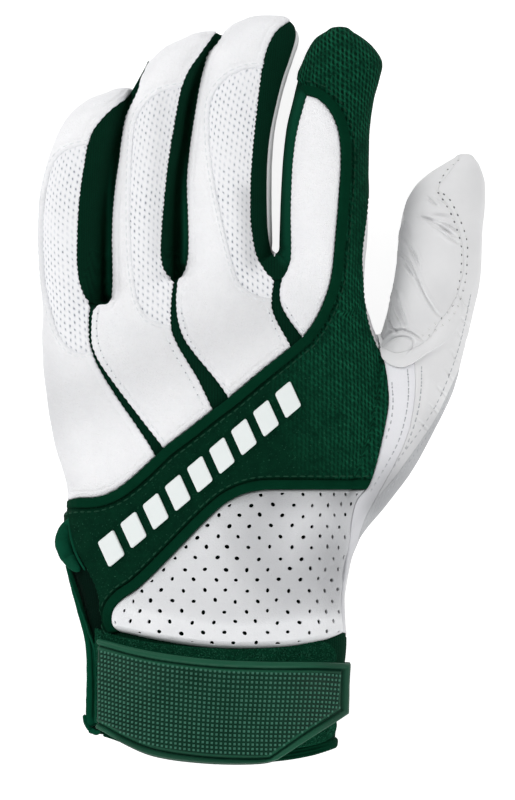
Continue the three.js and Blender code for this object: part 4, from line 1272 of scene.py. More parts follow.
def closed_piece(name, patch, outer, inner, material, nodes, slot, depth, measure, **more):
    """Gives a skin its thickness, and keeps the skin for stitches to land on."""
    skins[name] = BVHTree.FromPolygons(outer.tolist(), patch.faces.tolist())
    points, faces = thickened(outer, inner, patch.faces)
    measure = np.tile(np.column_stack(measure), (2, 1))
    return finish_mesh(name, points, faces, material, nodes, slot, np.tile(depth, 2), measure, **more)


def panel(
    name, depth, material, slot, nodes=None, rise=0.0, wall=WALL, roll=0.5, fine=0, relief=None,
    scallop=0.0, shade=None, digit=None,
):
    """One sewn piece: cut out of the hand form, raised, its rim rolled down, and given its thickness."""
    nodes = [name] if nodes is None else nodes
    patch = form.near(depth(form), 1.5)
    for _ in range(fine):
        patch = patch.refined()
    d = depth(patch)
    if scallop:
        wave = np.sin(patch.points[:, 1] * 2 * np.pi / 1.7) * scallop
        d = d + wave + 0.5 * scallop * bumps(patch.points, 1.2, 5, 1)
    patch.values["depth"] = d
    patch = patch.split("depth", 0.0, keep_low=False)
    for share in (0.3, 1.0):
        patch = patch.split("depth", roll * share)
    d = np.maximum(patch.values["depth"], 0)
    normal = patch.normals()
    curl = np.maximum(roll - d, 0)
    height = rise - (roll - np.sqrt(np.maximum(roll**2 - curl**2, 0)))
    if relief:
        height = height + relief(patch)
    outer = patch.points + normal * height[:, None]
    inner = patch.points + normal * (rise - wall)
    around = digit.arc(patch.points) if digit else patch.values["around"]
    measure = (around, patch.points[:, 1])
    closed_piece(name, patch, outer, inner, material, nodes, slot, d, measure, shade=shade)


def dent(distance, width, amount):
    return -amount * hump(distance, width)


GROOVE_INSET = 2.1


def leather_relief(seed, puff=0.3, wave=0.22, groove=0.18):
    def relief(patch):
        d = patch.values["depth"]
        p = patch.points
        swell = puff * swelling(d, 3.0)
        waves = wave * bumps(p, 13.0, seed) * np.clip(d / 3, 0, 1)
        return swell + waves + dent(d - GROOVE_INSET, 0.4, groove)

    return relief


pinky_ring = outline(
    PINKY_RIGHT_PX, PINKY_KNUCKLE_PX, (COVER_TOP_PINKY_PX, -1), [0, 503], [0, 60], [136, 60],
)
pinky_window = outline(PINKY_MESH_PX)
ring_ring = outline(
    RING_LEFT_PX[2:], RING_KNUCKLE_LEFT_PX, [[164, 448], [185, 432], [213, 410]], (RING_KNUCKLE_PX, -1),
    (RING_RIGHT_PX, -1), [214, 8], [136, 8], [136, 60], [139, 82],
)
ring_window = outline(RING_MESH_PX)
middle_ring = outline(
    MIDDLE_LEFT_PX, MIDDLE_KNUCKLE_LEFT_PX, [[229, 398], [260, 372], [291, 347]], (MIDDLE_KNUCKLE_PX, -1),
    (MIDDLE_RIGHT_PX, -1), [293, -10], [215, -10], [215, 20],
)
middle_window = outline(MIDDLE_MESH_PX)
insert_ring = outline(INDEX_LEFT_PX, INDEX_KNUCKLE_PX, INSERT_RIGHT_PX)
cover_ring = outline(
    COVER_TOP_PINKY_PX, COVER_TOP_REST_PX, INSERT_RIGHT_PX, INDEX_TIP_PX, MIDDLE_INDEX_GAP_PX, [400, 5],
    [387, 90], [380, 200], [377.5, 300], COVER_RIGHT_PX, VENT_TOP_PX, SLIT_BACK_PX,
)
upper_seam = np.vstack([line(COVER_TOP_PINKY_PX), line(COVER_TOP_REST_PX), line(INSERT_RIGHT_PX)])
lower_seam = line(VENT_TOP_PX)
vent_ring = outline(VENT_TOP_PX, VENT_BOTTOM_PX, VENT_RIGHT_PX)
wrist_ring = outline(
    COVER_RIGHT_PX, (VENT_RIGHT_PX, -1), [420, 632], [430, 542], (WRIST_RIGHT_PX, -1), (SIDE_RIGHT_PX, -1),
    WEB_WRIST_PX,
)
thumb_front_ring = outline(
    THUMB_SEAM_TOP_PX, THUMB_SEAM_LOW_PX, WEB_INNER_PX, [380, 300], [385, 200], [405, 120], [461, 120],
)
thumb_outer_ring = outline(
    THUMB_SEAM_TOP_PX, WEB_BACK_PX, SIDE_RIGHT_PX, OUTER_SEAM_PX, [540, 256], [540, 110], [463, 110],
)
thumb_side_ring = outline(OUTER_SEAM_PX, [540, 258], [540, 400], [430, 542], (WRIST_RIGHT_PX, -1))
web_ring = outline(THUMB_SEAM_LOW_PX, WEB_INNER_PX, (WEB_OUTER_PX, -1))
thumb_palm_ring = outline(
    [376, 340], [376, 100], [540, 100], [540, 322], [470, 340], [425, 350], [395, 350],
)
cuff_ring = outline(CUFF_ZONE_PX, [560, 900], [0, 900])
cuff_back_ring = outline([104, 634], VENT_BOTTOM_PX, [560, 632], [560, 900], [104, 900])
BINDING_WIDTH = 3.0
HEM_WIDTH = 3.4


def glow(points, px, width):
    """A soft patch about a line of the photograph, 1 on the line."""
    return hump(off_line(points, line(px, 2.0)), width)


def shading(*marks, base=0.0):
    """How far a surface goes over to its second colour: marks of an amount, a line in pixels and a width."""
    return lambda points: base + sum(amount * glow(points, px, width) for amount, px, width in marks)


# Painted shade: the leather is a little greyer over the knuckles, and every form turns grey towards its
# edges, where less light falls
back_shade = shading(
    (0.2, [[40, 200], [39, 260], [42, 340], [48, 400], [56, 450], [66, 480]], 5.0),
    (0.15, [[42, 170], [52, 135], [70, 113], [95, 97], [125, 88]], 3.0),
    (0.15, [[143, 72], [152, 58], [168, 46], [190, 35], [212, 31]], 3.0),
    (0.15, [[222, 40], [235, 27], [250, 18], [270, 14], [288, 18]], 3.0),
    (0.24, [[70, 400], [140, 370], [235, 330], [275, 300]], 12.0),
)
thumb_shade = shading(
    (0.62, [[402, 190], [396, 230], [393, 270], [388, 305], [382, 335]], 5.0),
    (0.22, [[404, 200], [404, 240]], 8.0), (0.12, [[410, 330], [440, 300]], 6.0),
)
side_shade = shading(
    (0.45, [[346, 600], [352, 560], [366, 515], [385, 480]], 7.0),
    (0.45, [[380, 505], [402, 480], [420, 455], [436, 425]], 5.0),
)
# Painted shade over the vent's middle and right side; its rolled bottom edge is painted lighter
vent_shade = shading(
    (0.34, [[262, 505], [262, 550], [290, 580], [318, 560]], 11.0), (0.3, [[345, 500], [340, 600]], 8.0),
    (0.25, [[275, 497], [352, 497]], 4.5), (-0.6, [[125, 622], [230, 638], [335, 626]], 4.2), base=0.24,
)
net_shade = shading((0.36, [[247, 195], [252, 262]], 3.2), (0.12, [[160, 100], [157, 250]], 3.0))
# Where the cover's knit lies flat and its holes close up
cover_shade = shading(
    (0.6, [[357, 150], [361, 200], [358, 262]], 4.0), (0.4, [[185, 470], [240, 440], [300, 400]], 4.0),
)
strap_shade = shading((0.55, STRAP_BOTTOM_PX, 1.8), (0.5, [[335, 670], [338, 712]], 7.0))
# Painted light: the knit is a lighter green along the far side of each valley and along the index finger's
# side of its gap, where the walls face the light
valley_painted_light = shading(
    (0.9, [[114, 150], [110, 185], [108.6, 240], [108.8, 294]], 0.75),
    (0.7, [[186, 150], [184, 195], [184.6, 235], [183.5, 262]], 0.75),
)
gap_painted_light = shading((0.45, [[301, 96], [294, 120], [288, 170], [286, 258]], 2.0))


def knit_painted_light(points):
    fade = np.clip((y_at(150) - points[:, 1]) / 16, 0, 1)
    return fade * valley_painted_light(points) + gap_painted_light(points)


def windowed(name, mesh_name, ring, window, digit, seed):
    panel(
        name, region(ring, holes=[window]), WHITE_LEATHER, "white_leather", fine=1,
        relief=leather_relief(seed), scallop=0.1, shade=back_shade,
    )

    def screen(patch):
        wave = 0.16 * np.sin(patch.points[:, 1] * 2 * np.pi / 1.5) + 0.1 * bumps(patch.points, 0.9, seed)
        return np.minimum(region(ring)(patch) + wave, inside(patch.points[:, :2], window) + 1.3)

    def relief(patch):
        d = inside(patch.points[:, :2], window)
        return 0.35 * np.clip(d / 5, 0, 1) + 0.1 * bumps(patch.points, 9.0, seed + 3)

    panel(
        mesh_name, screen, WHITE_MESH, "white_mesh", rise=-WINDOW_DROP, wall=0.7, fine=1, relief=relief,
        digit=digit, shade=net_shade,
    )


windowed("pinky_back_panel", "pinky_mesh_window", pinky_ring, pinky_window, pinky, 11)
windowed("ring_back_panel", "ring_mesh_window", ring_ring, ring_window, ring_finger, 12)
windowed("middle_back_panel", "middle_mesh_window", middle_ring, middle_window, middle, 13)
panel(
    "index_back_insert", region(insert_ring), WHITE_LEATHER, "white_leather", fine=1,
    relief=leather_relief(14, 0.35, 0.12, 0.0), scallop=0.08,
)

for name, ring in (
    ("fourchette_pinky_ring", outline(PINKY_RIGHT_PX, (RING_LEFT_PX[2:], -1))),
    ("fourchette_ring_middle", outline(RING_RIGHT_PX, (MIDDLE_LEFT_PX, -1))),
    (
        "fourchette_middle_index",
        outline(MIDDLE_RIGHT_PX, (INDEX_LEFT_PX, -1), INDEX_TIP_PX, MIDDLE_INDEX_GAP_PX, [294, 0]),
    ),
):
    panel(
        name, region(ring), GREEN_KNIT, "green_knit", rise=-FOURCHETTE_DROP, wall=0.9, roll=0.2,
        shade=knit_painted_light,
    )

GUSSET_LAP = 2.6
for name, ring in (
    ("knuckle_gusset_pinky_ring", outline(PINKY_KNUCKLE_PX, (RING_KNUCKLE_LEFT_PX, -1))),
    ("knuckle_gusset_ring_middle", outline(RING_KNUCKLE_PX, (MIDDLE_KNUCKLE_LEFT_PX, -1))),
    ("knuckle_gusset_middle_index", outline(MIDDLE_KNUCKLE_PX, (INDEX_KNUCKLE_PX, -1))),
):

    def gusset(patch, ring=ring):
        return np.minimum(inside(patch.points[:, :2], ring) + GUSSET_LAP, patch.values["top"])

    def sink(patch, ring=ring):
        return -0.6 * np.clip(-inside(patch.points[:, :2], ring), 0, 1)

    panel(name, gusset, GREEN_KNIT, "green_knit", rise=-GUSSET_DROP, wall=0.7, roll=0.2, relief=sink)


def cover_depth(patch):
    near = np.minimum(off_line(patch.points, upper_seam), off_line(patch.points, lower_seam))
    return np.minimum(region(cover_ring)(patch), near - BINDING_WIDTH + 0.3)


def cover_relief(patch):
    low = off_line(patch.points, lower_seam)
    high = off_line(patch.points, upper_seam)
    ridge = 0.45 * hump(low - 4.3, 0.8) + 0.25 * hump(high - 4.6, 0.9)
    corner = -COVER_RAISE * np.clip(1.5 - off_line(patch.points, line([[291, 70], [297, 88]])) / 1.6, 0, 1)
    waves = 0.12 * bumps(patch.points, 8.0, 21)
    return ridge + corner + dent(low - 3.1, 0.45, 0.5) + dent(high - 3.3, 0.6, 0.6) + waves


def upper_depth(patch):
    return np.minimum(region(cover_ring)(patch), BINDING_WIDTH - off_line(patch.points, upper_seam))


def lower_depth(patch):
    clear = off_line(patch.points, upper_seam) - BINDING_WIDTH
    return np.minimum.reduce(
        [region(cover_ring)(patch), BINDING_WIDTH - off_line(patch.points, lower_seam), clear]
    )


def cord_relief(seed):
    return lambda patch: 0.08 * bumps(patch.points, 2.5, seed)


def upper_relief(patch):
    end = np.clip((x_at(80) - patch.points[:, 0]) / 3.5, 0, 1)
    return cord_relief(22)(patch) - 1.1 * end


panel(
    "mesh_cover", cover_depth, GREEN_MESH, "green_mesh", rise=COVER_RAISE, wall=1.8, roll=0.3,
    relief=cover_relief, scallop=0.14, shade=cover_shade,
)
panel(
    "cover_upper_binding", upper_depth, GREEN_BINDING, "green_binding", rise=BINDING_RAISE, wall=2.4,
    roll=0.9, fine=1, relief=upper_relief,
)
panel(
    "cover_lower_binding", lower_depth, GREEN_BINDING, "green_binding", rise=BINDING_RAISE, wall=2.4,
    roll=0.9, fine=1, relief=cord_relief(23),
)


def stroke(points, px):
    """How near each point is to a line of the photograph, and the share of the line's length it is at."""
    edge = line(px, 0.7)
    near = np.flatnonzero(((points > edge.min(0) - 14) & (points < edge.max(0) + 14)).all(1))
    away, share = np.full(len(points), 99.0), np.zeros(len(points))
    if len(near):
        distance = span(points[near], edge[:-1], edge[1:])
        away[near] = distance.min(1)
        share[near] = (distance.argmin(1) + 0.5) / (len(edge) - 1)
    return away, share


VENT_HOLE_RADIUS = 0.62
VENT_ROW = 3.33
VENT_STEP = 6.62
VENT_FIRST_PX = [262, 494]
VENT_LEAN = -0.16
VENT_JITTER = 0.35
VENT_UNEVEN = 0.12
VENT_OVAL = 1.12
VENT_FOLDS = [
    ([[246, 498], [256, 540], [268, 585], [280, 612]], 6.5, 1.5),
    ([[228, 516], [240, 545], [246, 575]], 3.2, 0.5),
    ([[292, 566], [314, 574], [334, 590]], 1.8, 0.5), ([[322, 520], [336, 545], [345, 575]], 2.2, 0.6),
    ([[300, 596], [318, 584], [332, 566]], 1.6, 0.45), ([[150, 590], [175, 604], [205, 612]], 3.0, -0.45),
]


def chance(row, column, turn):
    """The same number between -1 and 1 each time for a hole of the grid."""
    return 2 * (np.sin(row * 12.9898 + column * 78.233 + turn * 37.719) * 43758.5453 % 1) - 1


def vent_holes(patch):
    """Distance to the rim of the nearest perforation of a staggered grid, positive outside the holes."""
    start = places([VENT_FIRST_PX])[0]
    across = patch.points[:, 0]
    right, left = x_at(300), x_at(150)
    across = across + np.maximum(across - right, 0) ** 2 / 31.0 - np.maximum(left - across, 0) ** 2 / 30.0
    row = np.round((start[1] - patch.points[:, 1]) / VENT_ROW)
    slide = row * VENT_LEAN + (row % 2) * VENT_STEP / 2
    column = np.round((across - start[0] - slide) / VENT_STEP)
    x = across - start[0] - slide - column * VENT_STEP - VENT_JITTER * chance(row, column, 0)
    y = patch.points[:, 1] - start[1] + row * VENT_ROW - VENT_JITTER * chance(row, column, 1)
    turn = math.pi * chance(row, column, 2)
    u, v = x * np.cos(turn) - y * np.sin(turn), x * np.sin(turn) + y * np.cos(turn)
    radius = VENT_HOLE_RADIUS * (1 + VENT_UNEVEN * chance(row, column, 3))
    return np.hypot(u / VENT_OVAL, v * VENT_OVAL) - radius


vent_depth = region(vent_ring)


def vent_relief(patch):
    p = patch.points
    d = inside(p[:, :2], vent_ring)
    low = off_line(p, line(VENT_BOTTOM_PX))
    side = np.clip((x_at(346) - p[:, 0]) / 8, 0, 1)
    bulge = 3.0 * side * np.clip(1 - low / 13, 0, 1) ** 1.5 * np.clip(low / 2.0, 0, 1) ** 0.5
    folds = sum(dent(stroke(p[:, :2], px)[0], width, amount) for px, width, amount in VENT_FOLDS)
    return 0.5 * swelling(d, 3) + bulge + folds + 0.35 * bumps(p, 15.0, 33) + 0.12 * bumps(p, 6.0, 34)


def vent_panel():
    patch = form.near(vent_depth(form), 1.5).refined()
    patch.values["depth"] = vent_depth(patch)
    patch = patch.split("depth", 0.0, keep_low=False).split("depth", 0.25).split("depth", VENT_ROLL)
    patch = patch.refined()
    hole = vent_holes(patch)
    patch.values["hole"] = np.where(patch.values["depth"] > 1.0, hole, 9.0)
    patch = patch.split("hole", 0.0, keep_low=False)
    d = np.maximum(patch.values["depth"], 0)
    normal = patch.normals()
    curl = np.maximum(VENT_ROLL - d, 0)
    height = vent_relief(patch) - (VENT_ROLL - np.sqrt(np.maximum(VENT_ROLL**2 - curl**2, 0)))
    height -= 0.12 * np.exp(-np.maximum(patch.values["hole"], 0) / 0.25)
    outer = patch.points + normal * height[:, None]
    inner = outer - normal * 0.9
    measure = (patch.values["around"], patch.points[:, 1])
    nodes, slot = ["vent_panel"], "white_leather"
    closed_piece("vent_panel", patch, outer, inner, VENT_LEATHER, nodes, slot, d, measure, shade=vent_shade)


vent_panel()
# A dark lining under the perforations, so that the holes show painted shade
panel(
    "vent_lining", lambda patch: vent_depth(patch) + 0.5, SHADOW_KNIT, "green_knit", [], rise=-1.7,
    wall=0.5, roll=0.2, relief=vent_relief,
)


# Creases pressed into the leather: a line in the photograph, its width and depth in mm
THUMB_CREASES = [
    ([[416, 213], [430, 216.5], [445, 217], [455, 221]], 1.3, 0.3),
    ([[418, 216.5], [430, 221], [441, 227], [455, 238]], 0.7, 0.62),
    ([[424, 218], [438, 222], [449, 227], [457, 232]], 0.5, 0.4),
    ([[429, 223], [439, 230.6], [447, 237], [460, 245]], 0.45, 0.29),
    ([[433, 225], [443, 230], [452, 234]], 0.35, 0.22),
    ([[427, 197], [431, 200.5], [436, 205]], 0.4, 0.25),
    ([[428, 202.6], [433, 204.5], [438, 206.5]], 0.4, 0.22),
    ([[434, 196], [440, 202], [446, 206]], 0.4, 0.18),
    ([[403, 238], [409.5, 248.7], [414.4, 258.5], [419, 271]], 0.45, 0.32),
    ([[407, 240], [414.4, 252], [420, 266]], 0.4, 0.25),
    ([[399, 250], [409.5, 262], [416, 275], [421, 288], [427.6, 301], [436, 313], [443, 318]], 0.5, 0.36),
    ([[402, 260], [411, 272], [419, 284]], 0.4, 0.25),
    ([[399, 253], [407, 265], [414, 279]], 0.4, 0.29),
    ([[411, 247], [417, 259], [421, 272]], 0.35, 0.18),
    ([[395, 288], [396.5, 303], [400, 314.5], [406, 328]], 0.7, 0.6),
    ([[391.5, 300], [394.5, 313], [401, 327]], 0.5, 0.4),
    ([[397, 292], [401.3, 308], [406, 323]], 0.5, 0.45),
    ([[387, 318], [391, 327], [397, 333]], 0.5, 0.54),
    ([[380, 342], [389.7, 332.6], [401.3, 330], [412.8, 334], [424, 342]], 0.5, 0.42),
    (
        [[381, 350], [389.7, 340], [398, 336.7], [407.8, 337.5], [412.8, 342.4], [411, 349], [405, 356]],
        0.5, 0.3,
    ),
    ([[398, 210], [404, 224], [408, 240]], 1.6, 0.45),
]
OUTER_CREASES = [
    ([[462, 300], [466, 306], [470, 310]], 0.4, 0.15), ([[459, 316], [464, 322], [468, 326]], 0.4, 0.15),
    ([[456, 330], [460, 338], [463, 343]], 0.4, 0.15), ([[450, 350], [454, 358], [458, 362]], 0.4, 0.15),
    ([[444, 368], [449, 376], [452, 381]], 0.4, 0.15), ([[436, 386], [442, 393], [446, 397]], 0.4, 0.15),
    ([[428, 404], [434, 410], [438, 414]], 0.4, 0.15), ([[418, 420], [424, 427], [428, 431]], 0.4, 0.15),
    ([[425, 375], [420, 395], [412, 420]], 1.6, 0.25),
]
CREASE_DEPTH, CREASE_WIDTH, CREASE_LEAST, CREASE_LIP = 1.9, 1.2, 0.55, 1.3


def creased(p, creases):
    """Grooves with a raised lip, deepest halfway along."""
    h = np.zeros(len(p))
    for px, width, amount in creases:
        away, share = stroke(p[:, :2], px)
        width = max(width * CREASE_WIDTH, CREASE_LEAST)
        fade = CREASE_DEPTH * amount * np.sin(math.pi * np.clip(share, 0.02, 0.98)) ** 0.6
        h += fade * (0.45 * hump(away - width * CREASE_LIP, width) - hump(away, width * 0.6))
    return h


def thumb_relief(seed, creases=(), puff=0.12, size=11.0, wave=0.25):
    def relief(patch):
        p = patch.points
        d = patch.values["depth"]
        soft = puff * swelling(d, 2) + wave * bumps(p, size, seed) * np.clip(d / 3, 0, 1)
        return soft + 0.05 * bumps(p, 2.2, seed + 5, 1) + creased(p, creases)

    return relief


web_inner_line = np.vstack([line(THUMB_SEAM_LOW_PX), line(WEB_INNER_PX)])


def web_relief(patch):
    away = off_line(patch.points, web_inner_line)
    share = np.clip(away / 3.0, 0, 1)
    lift = 1.1 * smooth_share(share)
    return lift + creased(patch.points, THUMB_CREASES[-4:]) + 0.1 * bumps(patch.points, 4.0, 47) * share


panel(
    "thumb_front_panel", region(thumb_front_ring), GREY_LEATHER, "grey_leather", roll=0.12, fine=1,
    relief=thumb_relief(41, THUMB_CREASES), shade=thumb_shade,
)
panel(
    "thumb_outer_panel", region(thumb_outer_ring), GREY_LEATHER, "grey_leather", roll=0.12, fine=1,
    relief=thumb_relief(42, THUMB_CREASES[:5] + OUTER_CREASES), shade=side_shade,
)
panel(
    "thumb_side_mesh", region(thumb_side_ring), SIDE_MESH, "white_mesh", rise=-0.1, roll=0.3,
    relief=thumb_relief(43), shade=side_shade,
)
panel(
    "thumb_web_binding", region(web_ring), GREY_LEATHER, "grey_leather", wall=1.6, roll=0.2, fine=1,
    relief=web_relief,
)
panel(
    "wrist_side_panel", region(wrist_ring), SIDE_LEATHER, "white_leather", roll=0.3,
    relief=thumb_relief(44, OUTER_CREASES, wave=0.5, size=18.0), shade=side_shade,
)


def palm_relief(patch):
    return thumb_relief(45)(patch) - 1.9 * np.clip(inside(patch.points[:, :2], slit_ring) / 3.0 + 0.3, 0, 1)


panel(
    "palm_leather", region(holes=[thumb_palm_ring, cuff_ring], side=-1), GREY_LEATHER, "grey_leather",
    relief=palm_relief,
)
panel(
    "thumb_palm_panel", region(thumb_palm_ring, side=-1), GREY_LEATHER, "grey_leather",
    relief=thumb_relief(46),
)
panel("cuff_palm_band", region(cuff_ring, side=-1, hem=HEM_WIDTH - 0.3), CUFF_KNIT, "green_knit")
panel("cuff_back_band", region(cuff_back_ring, hem=HEM_WIDTH - 0.3), CUFF_KNIT, "green_knit")
loop_ring = outline(LOOP_PX)
loop_depth = region(loop_ring)
panel(
    "loop_patch", loop_depth, GREEN_PILE, "green_pile", rise=1.0, wall=0.8, fine=1,
    relief=lambda patch: 0.18 * bumps(patch.points, 0.9, 51),
)

hem_line = line(HEM_PX)
slit_opening = outline([0, 600], [104, 600], [104, 900], [0, 900])


def hem_depth(patch):
    open_side = np.maximum(-inside(patch.points[:, :2], slit_opening), -patch.values["top"])
    return np.minimum.reduce([patch.values["hem"], HEM_WIDTH - off_line(patch.points, hem_line), open_side])


def hem_relief(patch):
    away = off_line(patch.points, hem_line)
    flat = np.clip((x_at(329) - patch.points[:, 0]) / 3.0, 0, 1)
    return cord_relief(24)(patch) + flat * (dent(away - 1.2, 0.3, 0.4) + dent(away - 2.3, 0.3, 0.5))


panel(
    "cuff_hem_binding", hem_depth, GREEN_BINDING, "green_binding", rise=0.9, wall=2.2, roll=1.2, fine=1,
    relief=hem_relief,
)


def slit_depth(patch):
    return np.minimum.reduce(
        [inside(patch.points[:, :2], slit_ring), patch.values["top"] + 0.8, patch.values["hem"] - 2.2]
    )


def slit_relief(patch):
    return -1.4 * np.clip((patch.values["normal"][:, 2] - 0.15) / 0.35, 0, 1)


panel(
    "slit_gusset", slit_depth, SHADOW_KNIT, "green_knit", rise=-0.2, wall=0.8, roll=0.2, relief=slit_relief,
)

# The slit on the little-finger side: its bound edge, the bulge of elastic at its top, and the rolled end


def sweep(
    name, px_rows, lift, material, nodes, slot, sides=20, flat=0.75, step=0.5, rough=0.06, square=2.4,
    under=palm,
):
    """A soft cord along a line of the photograph, lying on a form: rows of x, y and half width in pixels."""
    rows = np.array(px_rows, float)
    way = np.column_stack([places(rows[:, :2]), rows[:, 2] * MM_X])
    way = smooth_line(way, step)
    x, wide, z, tall, _ = under.row(way[:, 1])
    across = np.clip(np.abs((way[:, 0] - x) / wide), 0, 0.985)
    level = z + tall * (1 - across**under.power) ** (1 / under.power) + lift
    middle = np.column_stack([way[:, :2], level])
    step_way = np.gradient(middle, axis=0)
    step_way /= np.linalg.norm(step_way, axis=1, keepdims=True)
    aside = np.cross(step_way, [0, 0, 1.0])
    aside /= np.linalg.norm(aside, axis=1, keepdims=True)
    up = np.cross(aside, step_way)
    reach = reach_of(middle)
    ends = np.minimum(reach, reach[-1] - reach) / np.maximum(way[:, 2], 0.1)
    taper = np.sqrt(np.clip(1 - (1 - np.clip(ends, 0, 1)) ** 2, 0.02, 1))
    angle = np.linspace(0, 2 * np.pi, sides, endpoint=False)
    bend = lambda v: np.sign(v) * np.abs(v) ** (2 / square)
    radius = (way[:, 2] * taper)[:, None]
    points = (
        middle[:, None] + aside[:, None] * (radius * bend(np.cos(angle)))[..., None]
        + up[:, None] * (radius * flat * bend(np.sin(angle)))[..., None]
    ).reshape(-1, 3)
    points += np.column_stack([bumps(points, 1.6, seed) for seed in (71, 72, 73)]) * rough
    n = len(way)
    points = np.vstack([points, middle[0], middle[-1]])
    faces = tube_faces(n, sides)[:, [0, 2, 1]]
    a, b, c = (points[faces[:, q]] for q in range(3))
    if (np.cross(b - a, c - a) * (a - middle.mean(0))).sum() < 0:
        faces = faces[:, ::-1]
    around = np.concatenate([np.tile(angle * way[:, 2].mean(), n), [0, 0]])
    along = np.concatenate([np.repeat(reach, sides), [0, reach[-1]]])
    return finish_mesh(name, points, faces, material, nodes, slot, None, np.column_stack([around, along]))


SLIT_BAND_PX = [
    [67.5, 564, 2.2], [72.5, 580, 3.0], [78.3, 600, 3.6], [84, 620, 3.8], [89, 636, 4.6], [92, 650, 5.6],
    [93, 670, 6.0], [93, 690, 6.2], [92.5, 710, 6.2], [92.5, 726, 5.6],
]
SLIT_LINE_PX = [
    [70, 576, 0.7], [77, 596, 0.9], [84, 616, 1.0], [90, 634, 1.2], [95.5, 650, 1.3], [97, 680, 1.3],
    [97, 722, 1.2],
]
SLIT_SEAM_PX = [[87, 628, 0.4], [91, 645, 0.6], [92.5, 665, 0.7], [93, 690, 0.7], [92.5, 718, 0.6]]
SLIT_CURL_PX = [[85, 714, 2.0], [86.5, 722, 2.4], [91, 729, 2.6], [97, 732, 2.4], [101, 730, 1.8]]
SLIT_BULGE_PX = [
    [71, 519, 2.6], [67, 528, 6.6], [63.6, 539, 8.4], [66, 551, 8.2], [72, 562, 6.4], [80, 571, 3.2],
]
SLIT_RIDGE_PX = [[69, 516, 1.0], [70.5, 530, 1.3], [74, 546, 1.3], [80, 560, 1.2], [86, 570, 0.9]]
sweep("slit_band", SLIT_BAND_PX, 0.4, BAND_FELT, ["slit_edge_binding"], "green_binding")
sweep("slit_band_line", SLIT_LINE_PX, 1.5, GREEN_TAB, [], "green_binding", sides=10)
sweep("slit_band_seam", SLIT_SEAM_PX, 2.1, GREEN_BINDING, [], "green_binding", sides=8)
sweep("slit_curl", SLIT_CURL_PX, 0.6, BAND_FELT, [], "green_binding", flat=0.9, rough=0.12)
sweep("slit_bulge", SLIT_BULGE_PX, 0.2, GREEN_TAB, ["slit_tab"], "green_rubber", flat=0.7, rough=0.15)
sweep("slit_ridge", SLIT_RIDGE_PX, 1.2, GREEN_TAB, [], "green_rubber", sides=10)
# The knit wedge beside the ring finger above the little finger's tip, and the leather in the thumb's crotch
PINKY_WEDGE_PX = [[148.8, 60, 0.5], [145, 69, 1.0], [141, 78, 1.8], [137.5, 86, 2.6], [133.5, 95, 3.6]]
THUMB_CROTCH_PX = [[378.5, 334, 1.4], [380.5, 340, 2.2], [382, 347, 2.8], [383.5, 356, 2.0]]
sweep("fourchette_wedge", PINKY_WEDGE_PX, -0.5, GREEN_KNIT, [], "green_knit", under=ring_finger)
sweep("thumb_crotch", THUMB_CROTCH_PX, -0.7, GREY_LEATHER, [], "grey_leather", rough=0.03)


# Raised slanted bars in a row on the cover, a plain stand-in for what a real glove carries there
BAR_WIDTH, BAR_PITCH, BAR_HEIGHT, BAR_COUNT = 6.2, 9.0, 8.2, 9
BAR_SLANT = math.radians(16)
BAR_ROUND = 0.7


def rounded(points, middle, way, half, slant, corner):
    """Signed depth inside a slanted rectangle with round corners."""
    along = (points - middle) @ way
    across = (points - middle) @ np.array([-way[1], way[0]])
    along = along - across * math.tan(slant)
    q = np.abs(np.column_stack([along * math.cos(slant), across])) - np.array(half) + corner
    outside = np.linalg.norm(np.maximum(q, 0), axis=1)
    return corner - outside - np.minimum(q.max(1), 0)


bar_start, bar_end = places([BARS_START_PX, BARS_END_PX])
bar_way = (bar_end - bar_start) / np.linalg.norm(bar_end - bar_start)
for i in range(BAR_COUNT):
    middle_of_bar = bar_start + bar_way * BAR_PITCH * i

    def bar_depth(patch, middle_of_bar=middle_of_bar):
        half = (BAR_WIDTH / 2 * math.cos(BAR_SLANT), BAR_HEIGHT / 2)
        d = rounded(patch.points[:, :2], middle_of_bar, bar_way, half, BAR_SLANT, BAR_ROUND)
        return np.minimum(d, patch.values["top"])

    name = f"trim_bar_{i + 1}"
    panel(
        name, bar_depth, WHITE_RUBBER, "white_rubber", rise=COVER_RAISE + 1.15, wall=1.3, roll=0.55, fine=2,
    )


# The closure strap, laid over the cuff in its own measure: how far round, and how far up
STRAP_ROOT_PX = 99
STRAP_TIP_PX = 352
STRAP_OUTER_PX = [
    [
        [60, 622], [85, 634], [99, 638], [111, 640.8], [130, 645.4], [160, 651.2], [213, 657.8], [263, 660],
        [318, 660.8], [350, 662.5],
    ],
    [[350, 662.5], [349, 680], [348, 713]],
    [[348, 713], [341, 717.5], [310, 737], [277, 758]],
    [[277, 758], [263, 761], [208, 761], [153, 753.5], [125, 742], [105, 731], [97, 727], [60, 712]],
]
STRAP_FIELD_PX = [
    [
        [60, 628], [85, 638], [99, 643.6], [111, 647], [130, 652.2], [160, 658.4], [213, 664.6],
        [263, 666.6], [318, 667], [343, 668.3],
    ],
    [[343, 668.3], [342.4, 690], [342, 709.5]],
    [[342, 709.5], [305, 733], [271, 756.5]],
    [[271, 757], [263, 758], [208, 756.5], [153, 748.2], [125, 737], [105, 726.2], [97, 722], [60, 706]],
]
strap_outer = outline(*STRAP_OUTER_PX)
strap_field = outline(*STRAP_FIELD_PX)
STRAP_MID_Y = float(y_at(STRAP_MIDDLE_PX))
STRAP_DIP_PX = (100, 108)
STRAP_DIP = 6.0
STRAP_ROLL = 0.3


def angle_at(px):
    x, wide, _, _, _ = palm.row(STRAP_MID_Y)
    across = np.clip((x_at(px) - x) / wide, -1, 1)
    return np.arccos(np.sign(across) * np.abs(across) ** (palm.power / 2))


